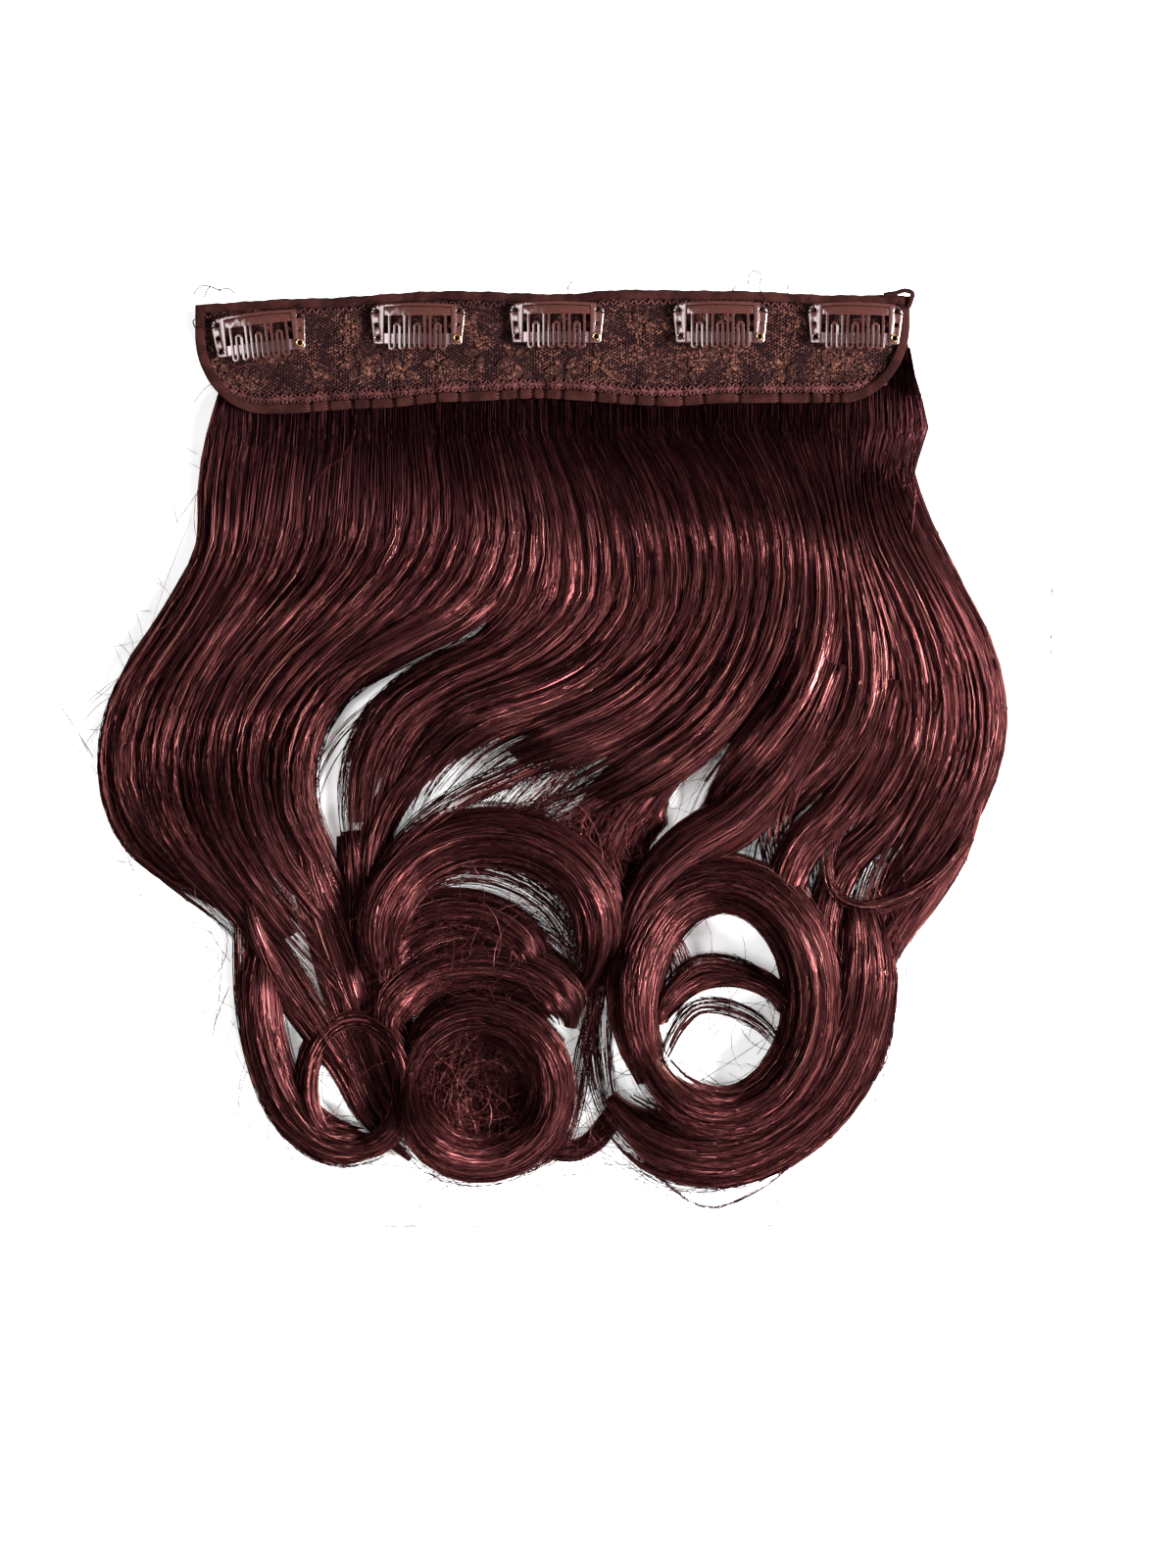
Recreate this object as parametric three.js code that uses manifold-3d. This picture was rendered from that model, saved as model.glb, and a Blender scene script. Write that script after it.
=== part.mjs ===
// A one-piece clip-in hair extension: wavy hair on a lace band with five snap clips, lying flat.
// Millimetres. X runs along the band to the right, Y from the curls to the band, Z up from the surface
// that the hair lies on. The origin is under the middle of the whole.
import * as THREE from "three";
import Module from "manifold-3d";
import { mergeVertices } from "three/addons/utils/BufferGeometryUtils.js";

const wasm = await Module();
wasm.setup();

// Hair
const HALF_SPREAD = 155; // from the middle to the widest curve of the hair on either side
const DROP = 313; // unit of length down the hair, from the band's top edge
const MIDDLE = 0.481; // share of the drop at which the origin lies
const LOFT = 30; // height of the highest curl
const WEFT_HEIGHT = 7.4; // wefts stacked under the band
const WEFT_INSET = 3; // from the band's edge in to the wefts
const CRUMB = 1; // cubic millimetres, less than any lock: what a cut leaves over
const FALL_STEP = 27; // length of hair between two sections of a falling lock
const CURL_STEP = 17; // and of a curled one

// Band
const BAND_WIDTH = 242;
const BAND_HEIGHT = 37;
const LACE_WALL = 1.2;
const CORNER_WIDTH = 23; // rounded lower corners of the band
const CORNER_HEIGHT = 26;
const TOP_TAPE_WIDTH = 3.2;
const HEM_TAPE_WIDTH = 3.6;
const END_TAPE_WIDTH = 2.6; // of the same tape up the band's ends
const TAPE_WALL = 1;
const GATHER_PITCH = 17.3; // between two puckers of the hem tape
const GATHER_DEPTH = 0.55; // how far a pucker draws the hem in and lifts it
const TAB_LENGTH = 7; // folded end of the top tape at the right
const TAB_RISE = 1.6;
const GAP = 0.3; // between pieces that touch

// Clip
const CLIP_WIDTH = 32;
const CLIP_HEIGHT = 13.8;
const CLIP_WALL = 0.5;
const CLIP_ARCH = 2; // rise of the bowed plate over its ends
const CLIP_LIFT = 0.7; // from the lace to the strip's ends
const SHOULDER_DROP = 0.7; // how much lower the plate's top edge is at its shoulders
const SHOULDER_RADIUS = 3.2;
const SIDE_TAPER = 1; // how far each side leans in at the bottom
const ARM_WIDTH = 4.6;
const RIM_HEIGHT = 1; // of the frame above the comb
const SLIT = 0.3; // between the comb and the frame
const TOOTH_PITCH = 1.72;
const TOOTH_WIDTH = 0.86;
const TOOTH_GROUPS = 3; // each a serpentine of four teeth
const TOOTH_REACH = 2.1; // of the teeth below the arms
const ARCH_TOP = 7.2; // top of the small arch inside each group, over the arms' lower ends
const BAR_BOTTOM = 9.6; // lower edge of the comb's bar, over the arms' lower ends
const WINDOW_CORNER = 1.1;
const STRIP_HEIGHT = 3.6;
const SEWING_HOLE = 0.8; // radius
const UPPER_HOLE_RISE = 11;
const LOWER_HOLE_RISE = 6.4;
const HOLE_INSET = 2.1; // from the plate's side to the middle of a sewing hole
const EYELET_INSET = 2.6; // from the plate's side to the middle of an eyelet
const EYELET_RISE = 2;
const EYELET_BORE = 0.5; // radius
const EYELET_NECK = 0.8; // radius
const EYELET_FLANGE = 1.3; // radius
const EYELET_RIM = 0.3; // thickness of a flange
const RUNNING = 0.2; // clearance round and under an eyelet

const HALF_BAND = BAND_WIDTH / 2;
const BAND_TOP = DROP * MIDDLE;
const LACE_BOTTOM = WEFT_HEIGHT + GAP;
const LACE_TOP = LACE_BOTTOM + LACE_WALL;

// Lines of the band. along is a share of the half band, rise of the band's height.
const TOP_LINE = [
  { along: -1, rise: -0.11 },
  { along: -0.69, rise: -0.06 },
  { along: -0.28, rise: 0.01 },
  { along: 0.02, rise: -0.02 },
  { along: 0.2, rise: 0.02 },
  { along: 0.5, rise: 0.01 },
  { along: 0.8, rise: -0.03 },
  { along: 1, rise: -0.03 },
];
const HEM_LINE = [
  { along: -1, rise: -1.1 },
  { along: -0.78, rise: -1.12 },
  { along: -0.5, rise: -1.07 },
  { along: -0.28, rise: -1.01 },
  { along: -0.05, rise: -0.98 },
  { along: 0.33, rise: -1.05 },
  { along: 0.5, rise: -1.02 },
  { along: 0.8, rise: -1.02 },
  { along: 1, rise: -1 },
];

// Seats of the clips. along is a share of the room between the band's ends, down is the share of the
// band's height from its top line to the plate's middle, turn is in degrees.
const CLIP_SEATS = [
  { along: -0.946, down: 0.3, turn: 6.5 },
  { along: -0.435, down: 0.295, turn: 0 },
  { along: 0.013, down: 0.26, turn: 0 },
  { along: 0.54, down: 0.29, turn: 0 },
  { along: 0.975, down: 0.26, turn: -1 },
];

// Locks that fall from the band. root is where a lock leaves the band, a share of the half band. across
// and down are its later stations, shares of the half spread and of the drop. width is its half width
// and tier its extra height, shares of the half spread and of the loft.
const FALLS = [
  { root: -0.89, width: 0.055, tier: 0, across: [-0.715, -0.725, -0.81, -0.91, -0.94, -0.89, -0.78, -0.68, -0.64],
    down: [0.2, 0.28, 0.36, 0.43, 0.52, 0.59, 0.645, 0.69, 0.75] },
  { root: -0.76, width: 0.075, tier: 0.1, across: [-0.61, -0.64, -0.74, -0.83, -0.865, -0.82, -0.73, -0.65, -0.58, -0.51, -0.44],
    down: [0.2, 0.29, 0.37, 0.44, 0.52, 0.59, 0.645, 0.69, 0.76, 0.82, 0.885] },
  { root: -0.59, width: 0.085, tier: 0.06, across: [-0.47, -0.49, -0.6, -0.71, -0.765, -0.73, -0.66, -0.58, -0.5, -0.43],
    down: [0.2, 0.285, 0.355, 0.42, 0.5, 0.58, 0.64, 0.695, 0.735, 0.78] },
  { root: -0.41, width: 0.085, tier: 0, across: [-0.31, -0.32, -0.43, -0.56, -0.66, -0.66, -0.6, -0.52, -0.44],
    down: [0.2, 0.275, 0.345, 0.4, 0.47, 0.55, 0.62, 0.67, 0.73] },
  { root: -0.22, width: 0.075, tier: 0.08, across: [-0.15, -0.14, -0.21, -0.36, -0.49, -0.56, -0.56, -0.5, -0.43],
    down: [0.2, 0.27, 0.335, 0.38, 0.425, 0.49, 0.56, 0.62, 0.69] },
  { root: -0.05, width: 0.08, tier: 0, across: [0, 0.03, 0.02, -0.1, -0.24, -0.35, -0.41, -0.42, -0.41],
    down: [0.2, 0.265, 0.335, 0.39, 0.42, 0.46, 0.52, 0.59, 0.67] },
  { root: 0.12, width: 0.085, tier: 0.12, across: [0.15, 0.19, 0.19, 0.1, -0.03, -0.16, -0.27, -0.33, -0.35],
    down: [0.2, 0.265, 0.34, 0.4, 0.435, 0.455, 0.495, 0.55, 0.62] },
  { root: 0.3, width: 0.085, tier: 0.18, across: [0.3, 0.34, 0.34, 0.27, 0.15, 0.01, -0.12, -0.22],
    down: [0.2, 0.265, 0.34, 0.405, 0.455, 0.485, 0.51, 0.555] },
  { root: 0.49, width: 0.08, tier: 0.12, across: [0.44, 0.48, 0.47, 0.4, 0.28, 0.15, 0.04, -0.03],
    down: [0.2, 0.27, 0.35, 0.43, 0.49, 0.53, 0.56, 0.6] },
  { root: 0.65, width: 0.075, tier: 0.06, across: [0.55, 0.59, 0.59, 0.54, 0.45, 0.37, 0.33],
    down: [0.2, 0.28, 0.37, 0.44, 0.5, 0.55, 0.615] },
  { root: 0.77, width: 0.07, tier: 0, across: [0.62, 0.65, 0.69, 0.69, 0.63, 0.54, 0.47, 0.45],
    down: [0.2, 0.28, 0.37, 0.44, 0.5, 0.545, 0.59, 0.64] },
  { root: 0.86, width: 0.065, tier: 0.06, across: [0.66, 0.68, 0.75, 0.79, 0.78, 0.72, 0.65, 0.63],
    down: [0.19, 0.26, 0.345, 0.42, 0.49, 0.55, 0.6, 0.66] },
  { root: 0.94, width: 0.058, tier: 0.12, across: [0.71, 0.73, 0.82, 0.88, 0.88, 0.82, 0.75, 0.67],
    down: [0.18, 0.25, 0.34, 0.42, 0.5, 0.57, 0.625, 0.665] },
  { root: 0.985, width: 0.048, tier: 0, across: [0.74, 0.77, 0.85, 0.93, 0.95, 0.92, 0.86, 0.78, 0.73, 0.71],
    down: [0.19, 0.24, 0.32, 0.4, 0.465, 0.53, 0.59, 0.645, 0.68, 0.73] },
];
// Height of a falling lock at the band, at its stations and at its tip, shares of the loft.
const FALL_LIFT = { root: 0.24, stations: [0.3, 0.42, 0.5, 0.4, 0.46, 0.44, 0.36], tip: 0.3 };
const SHEET_STATIONS = 4; // the first stations of the falls, which a low sheet of hair joins
const SHEET_LIFT = 0.16; // its height, a share of the loft
const SHEET_EDGE = 0.4; // share of that height which is left at its free edge

// Locks that lie in arcs and rings. across and down are the middle, wide and deep the radii, width the
// half width, crest the height: shares of the half spread, the drop and the loft. from and sweep are
// degrees, anticlockwise from the right.
const CURLS = [
  { across: -0.44, down: 0.75, wide: 0.2, deep: 0.172, from: 160, sweep: 130, width: 0.05, crest: 0.45 },
  { across: -0.43, down: 0.857, wide: 0.105, deep: 0.069, from: 250, sweep: 330, width: 0.028, crest: 0.42 },
  { across: -0.135, down: 0.698, wide: 0.245, deep: 0.108, from: 195, sweep: -225, width: 0.065, crest: 0.8 },
  { across: -0.15, down: 0.74, wide: 0.17, deep: 0.078, from: 190, sweep: -200, width: 0.07, crest: 0.56 },
  { across: -0.16, down: 0.79, wide: 0.2, deep: 0.062, from: 190, sweep: -200, width: 0.05, crest: 0.5 },
  { across: -0.16, down: 0.862, wide: 0.155, deep: 0.077, from: 165, sweep: -330, width: 0.055, crest: 0.78 },
  { across: -0.16, down: 0.862, wide: 0.072, deep: 0.036, from: 90, sweep: -320, width: 0.055, crest: 0.25 },
  { across: 0.37, down: 0.765, wide: 0.195, deep: 0.127, from: 205, sweep: -340, width: 0.065, crest: 1 },
  { across: 0.38, down: 0.8, wide: 0.15, deep: 0.062, from: 175, sweep: -170, width: 0.024, crest: 0.62 },
  { across: 0.35, down: 0.72, wide: 0.325, deep: 0.21, from: 18, sweep: -155, width: 0.08, crest: 0.55 },
  { across: 0.03, down: 0.862, wide: 0.11, deep: 0.07, from: 250, sweep: 105, width: 0.02, crest: 0.25 },
  { across: 0.3, down: 0.64, wide: 0.19, deep: 0.12, from: 110, sweep: 110, width: 0.085, crest: 0.35 },
];

// Outline of a lock's section. side is a share of the half width, rise of the crest.
const LOCK_SECTION = [
  { side: -1, rise: 0 },
  { side: -0.78, rise: 0.68 },
  { side: 0, rise: 1 },
  { side: 0.78, rise: 0.68 },
  { side: 1, rise: 0 },
];
const LOCK_TIP = 0.6; // share of its width that a lock keeps at its tip

// Turns a geometry, or lists of points and triangles, into a solid that can be joined and cut.
function solid(geometry) {
  const bare = geometry.clone();
  bare.deleteAttribute("normal");
  bare.deleteAttribute("uv");
  const merged = mergeVertices(bare, 1e-4);
  return new wasm.Manifold(
    new wasm.Mesh({
      numProp: 3,
      vertProperties: new Float32Array(merged.attributes.position.array),
      triVerts: new Uint32Array(merged.index.array),
    }),
  );
}

function geometryOf(body) {
  const mesh = body.getMesh();
  const geometry = new THREE.BufferGeometry();
  geometry.setAttribute("position", new THREE.BufferAttribute(new Float32Array(mesh.vertProperties), 3));
  geometry.setIndex(new THREE.BufferAttribute(new Uint32Array(mesh.triVerts), 1));
  return geometry;
}

// A closed solid through rings of points, each ring a flat convex outline.
function loft(rings) {
  const sides = rings[0].length;
  const index = [];
  for (let i = 0; i + 1 < rings.length; i++) {
    for (let j = 0; j < sides; j++) {
      const a = i * sides + j;
      const b = i * sides + ((j + 1) % sides);
      index.push(a, b, b + sides, a, b + sides, a + sides);
    }
  }
  const last = (rings.length - 1) * sides;
  for (let j = 1; j + 1 < sides; j++) {
    index.push(0, j + 1, j, last, last + j, last + j + 1);
  }
  const geometry = new THREE.BufferGeometry();
  geometry.setAttribute("position", new THREE.Float32BufferAttribute(rings.flat().flatMap((p) => p.toArray()), 3));
  geometry.setIndex(index);
  if (volumeOf(geometry) < 0) {
    geometry.index.array.reverse();
  }
  return geometry;
}

function volumeOf(geometry) {
  const place = geometry.attributes.position;
  const corner = (i) => new THREE.Vector3().fromBufferAttribute(place, geometry.index.getX(i));
  let sum = 0;
  for (let i = 0; i < geometry.index.count; i += 3) {
    sum += corner(i).dot(corner(i + 1).cross(corner(i + 2))) / 6;
  }
  return sum;
}

// An upright solid over a flat outline, from one height to another.
function prism(shape, low, high, curveSegments = 4) {
  const geometry = new THREE.ExtrudeGeometry(shape, { depth: high - low, bevelEnabled: false, curveSegments });
  return geometry.translate(0, 0, low);
}

// The value of a line of the band at a share along it, between the rows of its table.
function lineAt(rows, along) {
  const next = rows.findIndex((row) => row.along >= along - 1e-9);
  const right = rows[Math.max(next, 1)];
  const left = rows[Math.max(next, 1) - 1];
  const share = (along - left.along) / (right.along - left.along);
  const eased = share * share * (3 - 2 * share);
  return BAND_HEIGHT * (left.rise + (right.rise - left.rise) * eased);
}

const topAt = (x) => BAND_TOP + lineAt(TOP_LINE, x / HALF_BAND);

// The hem's place at x, its ends turned up as quarter ellipses.
function hemAt(x) {
  const into = Math.max(0, Math.abs(x) - (HALF_BAND - CORNER_WIDTH)) / CORNER_WIDTH;
  const lift = CORNER_HEIGHT * (1 - Math.sqrt(Math.max(0, 1 - into * into)));
  return BAND_TOP + lineAt(HEM_LINE, x / HALF_BAND) + lift;
}

// 0 to 1 at the puckers of the hem.
const gatherAt = (x) => Math.pow(Math.abs(Math.cos((Math.PI * x) / GATHER_PITCH)), 6);

// How far the lace ripples up at a point: not at all at its top edge, most at the hem.
function rippleAt(x, y) {
  const share = (topAt(x) - y) / BAND_HEIGHT;
  return GATHER_DEPTH * share * share * gatherAt(x);
}

// Points along the hem from the left end to the right one, closer together round the corners.
function hemStations() {
  const xs = [];
  const turns = 5;
  for (let i = 0; i < turns; i++) {
    xs.push(-HALF_BAND + CORNER_WIDTH * (1 - Math.sin((Math.PI / 2) * (1 - i / turns))));
  }
  const inner = HALF_BAND - CORNER_WIDTH;
  const count = Math.round((2 * inner) / (GATHER_PITCH / 4));
  for (let i = 0; i <= count; i++) {
    xs.push(-inner + (2 * inner * i) / count);
  }
  return [...xs, ...xs.slice(0, turns).reverse().map((x) => -x)];
}

// The lace as one rippled wall between the top line and the hem.
function lacePanel() {
  const rows = 3;
  const xs = hemStations().filter((x, i) => i % 2 === 0 || Math.abs(x) > HALF_BAND - CORNER_WIDTH);
  const rings = xs.map((x) => {
    const at = (row, z) => {
      const y = topAt(x) + (hemAt(x) - topAt(x)) * (row / rows);
      return new THREE.Vector3(x, y, z + rippleAt(x, y));
    };
    const upper = Array.from({ length: rows + 1 }, (_, row) => at(row, LACE_TOP));
    const lower = Array.from({ length: rows + 1 }, (_, row) => at(rows - row, LACE_BOTTOM));
    return [...upper, ...lower];
  });
  return loft(rings);
}

// A tape's section between two points of its edges, from one height to another.
function tapeSection(outer, inner, low, high) {
  return [
    new THREE.Vector3(outer.x, outer.y, low),
    new THREE.Vector3(inner.x, inner.y, low),
    new THREE.Vector3(inner.x, inner.y, high),
    new THREE.Vector3(outer.x, outer.y, high),
  ];
}

// The tape along the band's top edge, its right end folded over and standing a little proud.
function topTape() {
  const low = LACE_TOP + GAP;
  const count = 16;
  const rings = [];
  for (let i = 0; i <= count; i++) {
    const x = -HALF_BAND + (BAND_WIDTH * i) / count;
    const end = Math.max(0, x - (HALF_BAND - TAB_LENGTH)) / TAB_LENGTH;
    const outer = new THREE.Vector2(x, topAt(x) + TAB_RISE * Math.min(1, end));
    const inner = new THREE.Vector2(x, topAt(x) - TOP_TAPE_WIDTH);
    rings.push(tapeSection(outer, inner, low, low + TAPE_WALL));
  }
  return loft(rings);
}

// The gathered tape round the band's ends and along its bottom edge.
function hemTape() {
  const xs = hemStations();
  const points = xs.map((x) => new THREE.Vector2(x, hemAt(x)));
  const start = TOP_TAPE_WIDTH + GAP;
  points.unshift(new THREE.Vector2(-HALF_BAND, topAt(-HALF_BAND) - start));
  points.push(new THREE.Vector2(HALF_BAND, topAt(HALF_BAND) - start));
  const rings = points.map((point, i) => {
    const before = points[Math.max(0, i - 1)];
    const after = points[Math.min(points.length - 1, i + 1)];
    const inward = new THREE.Vector2(before.y - after.y, after.x - before.x).normalize();
    const atEnd = Math.abs(point.x) > HALF_BAND - END_TAPE_WIDTH;
    const pull = atEnd ? 0 : GATHER_DEPTH * gatherAt(point.x);
    const outer = point.clone().addScaledVector(inward, pull);
    const inner = point.clone().addScaledVector(inward, atEnd ? END_TAPE_WIDTH : HEM_TAPE_WIDTH);
    const low = LACE_TOP + GAP + rippleAt(point.x, point.y);
    return tapeSection(outer, inner, low, low + TAPE_WALL + pull);
  });
  return loft(rings);
}

const onHair = (across, down) => new THREE.Vector2(HALF_SPREAD * across, DROP * (MIDDLE - down));

// Sections of a lock across the sampled points of its crest line, whose z is the crest's height.
function lockGeometry(points, halfWidth, step) {
  const curve = new THREE.CatmullRomCurve3(points, false, "centripetal");
  const count = Math.max(3, Math.round(curve.getLength() / step));
  const rings = [];
  for (let i = 0; i <= count; i++) {
    const share = i / count;
    const middle = curve.getPointAt(share);
    const tangent = curve.getTangentAt(share);
    const side = new THREE.Vector3(tangent.y, -tangent.x, 0).normalize();
    const tip = Math.min(1, LOCK_TIP + (1 - share) * 3);
    rings.push(
      LOCK_SECTION.map((row) => {
        const place = middle.clone().addScaledVector(side, row.side * halfWidth * tip);
        return place.setZ(middle.z * row.rise * (0.6 + 0.4 * tip));
      }),
    );
  }
  return loft(rings);
}

function fallingLock(row) {
  const rootX = row.root * HALF_BAND;
  const rise = LOFT * FALL_LIFT.root;
  const points = [
    new THREE.Vector3(rootX, BAND_TOP - 0.2 * BAND_HEIGHT, rise),
    new THREE.Vector3(rootX, BAND_TOP - 1.1 * BAND_HEIGHT, rise),
  ];
  row.across.forEach((across, i) => {
    const place = onHair(across, row.down[i]);
    const last = i === row.across.length - 1;
    const lift = last ? FALL_LIFT.tip : FALL_LIFT.stations[Math.min(i, FALL_LIFT.stations.length - 1)];
    points.push(new THREE.Vector3(place.x, place.y, LOFT * (lift + row.tier)));
  });
  return lockGeometry(points, HALF_SPREAD * row.width, FALL_STEP);
}

function curledLock(row) {
  const middle = onHair(row.across, row.down);
  const count = Math.max(4, Math.round(Math.abs(row.sweep) / 30));
  const points = Array.from({ length: count + 1 }, (_, i) => {
    const share = i / count;
    const angle = THREE.MathUtils.degToRad(row.from + row.sweep * share);
    const x = middle.x + HALF_SPREAD * row.wide * Math.cos(angle);
    const y = middle.y + DROP * row.deep * Math.sin(angle);
    return new THREE.Vector3(x, y, LOFT * row.crest);
  });
  return lockGeometry(points, HALF_SPREAD * row.width, CURL_STEP);
}

// A low sheet of hair between the band and the first waves, its sides under the outermost locks.
function hairSheet() {
  const low = LOFT * SHEET_LIFT;
  const rows = FALLS.map((row) => {
    const rootX = row.root * HALF_BAND;
    const root = new THREE.Vector2(rootX, BAND_TOP - 0.5 * BAND_HEIGHT);
    return [root, ...row.across.slice(0, SHEET_STATIONS).map((across, i) => onHair(across, row.down[i]))];
  });
  const rings = Array.from({ length: SHEET_STATIONS + 1 }, (_, station) => {
    const line = rows.map((row) => row[station]);
    const height = low * (station === SHEET_STATIONS ? SHEET_EDGE : 1);
    const upper = line.map((p) => new THREE.Vector3(p.x, p.y, height));
    const lower = line.map((p) => new THREE.Vector3(p.x, p.y, 0)).reverse();
    return [...upper, ...lower];
  });
  return loft(rings);
}

// The plain outline of the band, drawn in from its edge or out past it.
function bandShape(inset) {
  const corners = 4;
  const spans = 6;
  const inner = HALF_BAND - CORNER_WIDTH;
  const turn = Array.from({ length: corners }, (_, i) => inner + CORNER_WIDTH * Math.cos((Math.PI / 2) * (i / corners)));
  const level = Array.from({ length: spans + 1 }, (_, i) => -inner + (2 * inner * i) / spans);
  const xs = [...turn.map((x) => -x), ...level, ...turn.slice().reverse()];
  const scale = (HALF_BAND - inset) / HALF_BAND;
  const hem = xs.map((x) => new THREE.Vector2(x * scale, hemAt(x) + inset));
  const top = [HALF_BAND, ...level.slice().reverse(), -HALF_BAND].map((x) => new THREE.Vector2(x * scale, topAt(x) - inset));
  return new THREE.Shape([...hem, ...top]);
}

// The wefts under the band with every lock fused to them, kept clear of the band above.
function hair() {
  let body = solid(prism(bandShape(WEFT_INSET), 0, WEFT_HEIGHT));
  body = body.add(solid(hairSheet()));
  for (const row of FALLS) {
    body = body.add(solid(fallingLock(row)));
  }
  for (const row of CURLS) {
    body = body.add(solid(curledLock(row)));
  }
  const room = solid(prism(bandShape(-GAP), WEFT_HEIGHT, WEFT_HEIGHT + LOFT));
  const pieces = body.subtract(room).decompose();
  const kept = pieces.filter((one) => one.volume() > CRUMB);
  return geometryOf(kept.reduce((all, one) => all.add(one)));
}

// Rise of the bowed plate at x.
const rise = (x) => CLIP_ARCH * (1 - Math.pow((2 * x) / CLIP_WIDTH, 2));

// A sheet bowed along X, between two lines across it, its ends at the given height.
function bowedSheet(low, bottom, top) {
  const half = CLIP_WIDTH / 2 + 1;
  const facets = 8;
  const xs = Array.from({ length: facets + 1 }, (_, i) => -half + (2 * half * i) / facets);
  const under = xs.map((x) => new THREE.Vector2(x, low + rise(x)));
  const over = xs.map((x) => new THREE.Vector2(x, low + CLIP_WALL + rise(x))).reverse();
  const profile = new THREE.Shape([...under, ...over]);
  const geometry = new THREE.ExtrudeGeometry(profile, { depth: top - bottom, bevelEnabled: false });
  return solid(geometry.rotateX(Math.PI / 2).translate(0, top, 0));
}

const tallPrism = (shape, curveSegments) => solid(prism(shape, -CLIP_ARCH, 4 * CLIP_ARCH + CLIP_LIFT, curveSegments));

function stamped(shape, low, curveSegments) {
  return geometryOf(bowedSheet(low, -2 * TOOTH_REACH, CLIP_HEIGHT + 1).intersect(tallPrism(shape, curveSegments)));
}

// A hole of six flats, each at the radius from its middle.
function holePath(x, y, radius) {
  const corner = (i) => {
    const angle = (-Math.PI * i) / 3;
    const reach = radius / Math.cos(Math.PI / 6);
    return new THREE.Vector2(x + reach * Math.cos(angle), y + reach * Math.sin(angle));
  };
  return new THREE.Path(Array.from({ length: 6 }, (_, i) => corner(i)));
}

const PLATE_LOW = CLIP_LIFT + CLIP_WALL + GAP;
const EYELET_X = CLIP_WIDTH / 2 - EYELET_INSET;

// The bowed top edge of the plate, lowered by a distance, from one x to another.
function topEdge(from, to, lower) {
  const steps = 4;
  return Array.from({ length: steps + 1 }, (_, i) => {
    const x = from + ((to - from) * i) / steps;
    const share = (2 * x) / CLIP_WIDTH;
    return new THREE.Vector2(x, CLIP_HEIGHT - lower - SHOULDER_DROP * share * share);
  });
}

// The sewn frame of the plate: two arms joined by a thin rim over the comb.
function clipFrame() {
  const half = CLIP_WIDTH / 2;
  const inner = half - ARM_WIDTH;
  const edge = topEdge(-half + SHOULDER_RADIUS, half - SHOULDER_RADIUS, 0);
  const shoulder = edge[0].y;
  const foot = SIDE_TAPER * 1.5;
  const shape = new THREE.Shape();
  shape.moveTo(-inner, 0);
  topEdge(-inner, inner, RIM_HEIGHT).forEach((p) => shape.lineTo(p.x, p.y));
  shape.lineTo(inner, 0);
  shape.lineTo(half - SIDE_TAPER - foot, 0);
  shape.quadraticCurveTo(half - SIDE_TAPER, 0, half - SIDE_TAPER, foot);
  shape.lineTo(half, shoulder - SHOULDER_RADIUS);
  shape.quadraticCurveTo(half, shoulder, half - SHOULDER_RADIUS, shoulder);
  edge.reverse().forEach((p) => shape.lineTo(p.x, p.y));
  shape.quadraticCurveTo(-half, shoulder, -half, shoulder - SHOULDER_RADIUS);
  shape.lineTo(-half + SIDE_TAPER, foot);
  shape.quadraticCurveTo(-half + SIDE_TAPER, 0, -half + SIDE_TAPER + foot, 0);
  shape.closePath();
  for (const side of [-1, 1]) {
    shape.holes.push(holePath(side * (half - HOLE_INSET), UPPER_HOLE_RISE, SEWING_HOLE));
    shape.holes.push(holePath(side * (half - HOLE_INSET), LOWER_HOLE_RISE, SEWING_HOLE));
    shape.holes.push(holePath(side * EYELET_X, EYELET_RISE, EYELET_NECK + RUNNING));
  }
  return stamped(shape, PLATE_LOW, 2);
}

// The comb: a bar with groups of teeth, each group one serpentine with a small arch in its middle.
function clipComb() {
  const half = CLIP_WIDTH / 2 - ARM_WIDTH - SLIT;
  const edge = topEdge(half, -half, RIM_HEIGHT + SLIT);
  const outerTurn = (TOOTH_PITCH + TOOTH_WIDTH) / 2;
  const innerTurn = (TOOTH_PITCH - TOOTH_WIDTH) / 2;
  const turnLine = outerTurn - TOOTH_REACH;
  const archLine = ARCH_TOP - outerTurn;
  const shape = new THREE.Shape();
  shape.moveTo(-half, edge[edge.length - 1].y);
  shape.lineTo(-half, BAR_BOTTOM);
  for (let group = 0; group < TOOTH_GROUPS; group++) {
    const middle = 4 * TOOTH_PITCH * (group - (TOOTH_GROUPS - 1) / 2);
    shape.lineTo(middle - TOOTH_PITCH - outerTurn, BAR_BOTTOM);
    shape.absarc(middle - TOOTH_PITCH, turnLine, outerTurn, Math.PI, 2 * Math.PI, false);
    shape.absarc(middle, archLine, innerTurn, Math.PI, 0, true);
    shape.absarc(middle + TOOTH_PITCH, turnLine, outerTurn, Math.PI, 2 * Math.PI, false);
    shape.lineTo(middle + TOOTH_PITCH + outerTurn, BAR_BOTTOM);
    const window = new THREE.Path();
    const wide = TOOTH_PITCH + innerTurn;
    window.moveTo(middle - wide, BAR_BOTTOM - WINDOW_CORNER);
    window.absarc(middle - TOOTH_PITCH, turnLine, innerTurn, Math.PI, 2 * Math.PI, false);
    window.absarc(middle, archLine, outerTurn, Math.PI, 0, true);
    window.absarc(middle + TOOTH_PITCH, turnLine, innerTurn, Math.PI, 2 * Math.PI, false);
    window.lineTo(middle + wide, BAR_BOTTOM - WINDOW_CORNER);
    window.lineTo(middle + wide - WINDOW_CORNER / 2, BAR_BOTTOM);
    window.lineTo(middle - wide + WINDOW_CORNER / 2, BAR_BOTTOM);
    window.closePath();
    shape.holes.push(window);
  }
  shape.lineTo(half, BAR_BOTTOM);
  edge.forEach((p) => shape.lineTo(p.x, p.y));
  return stamped(shape, PLATE_LOW, 2);
}

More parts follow.
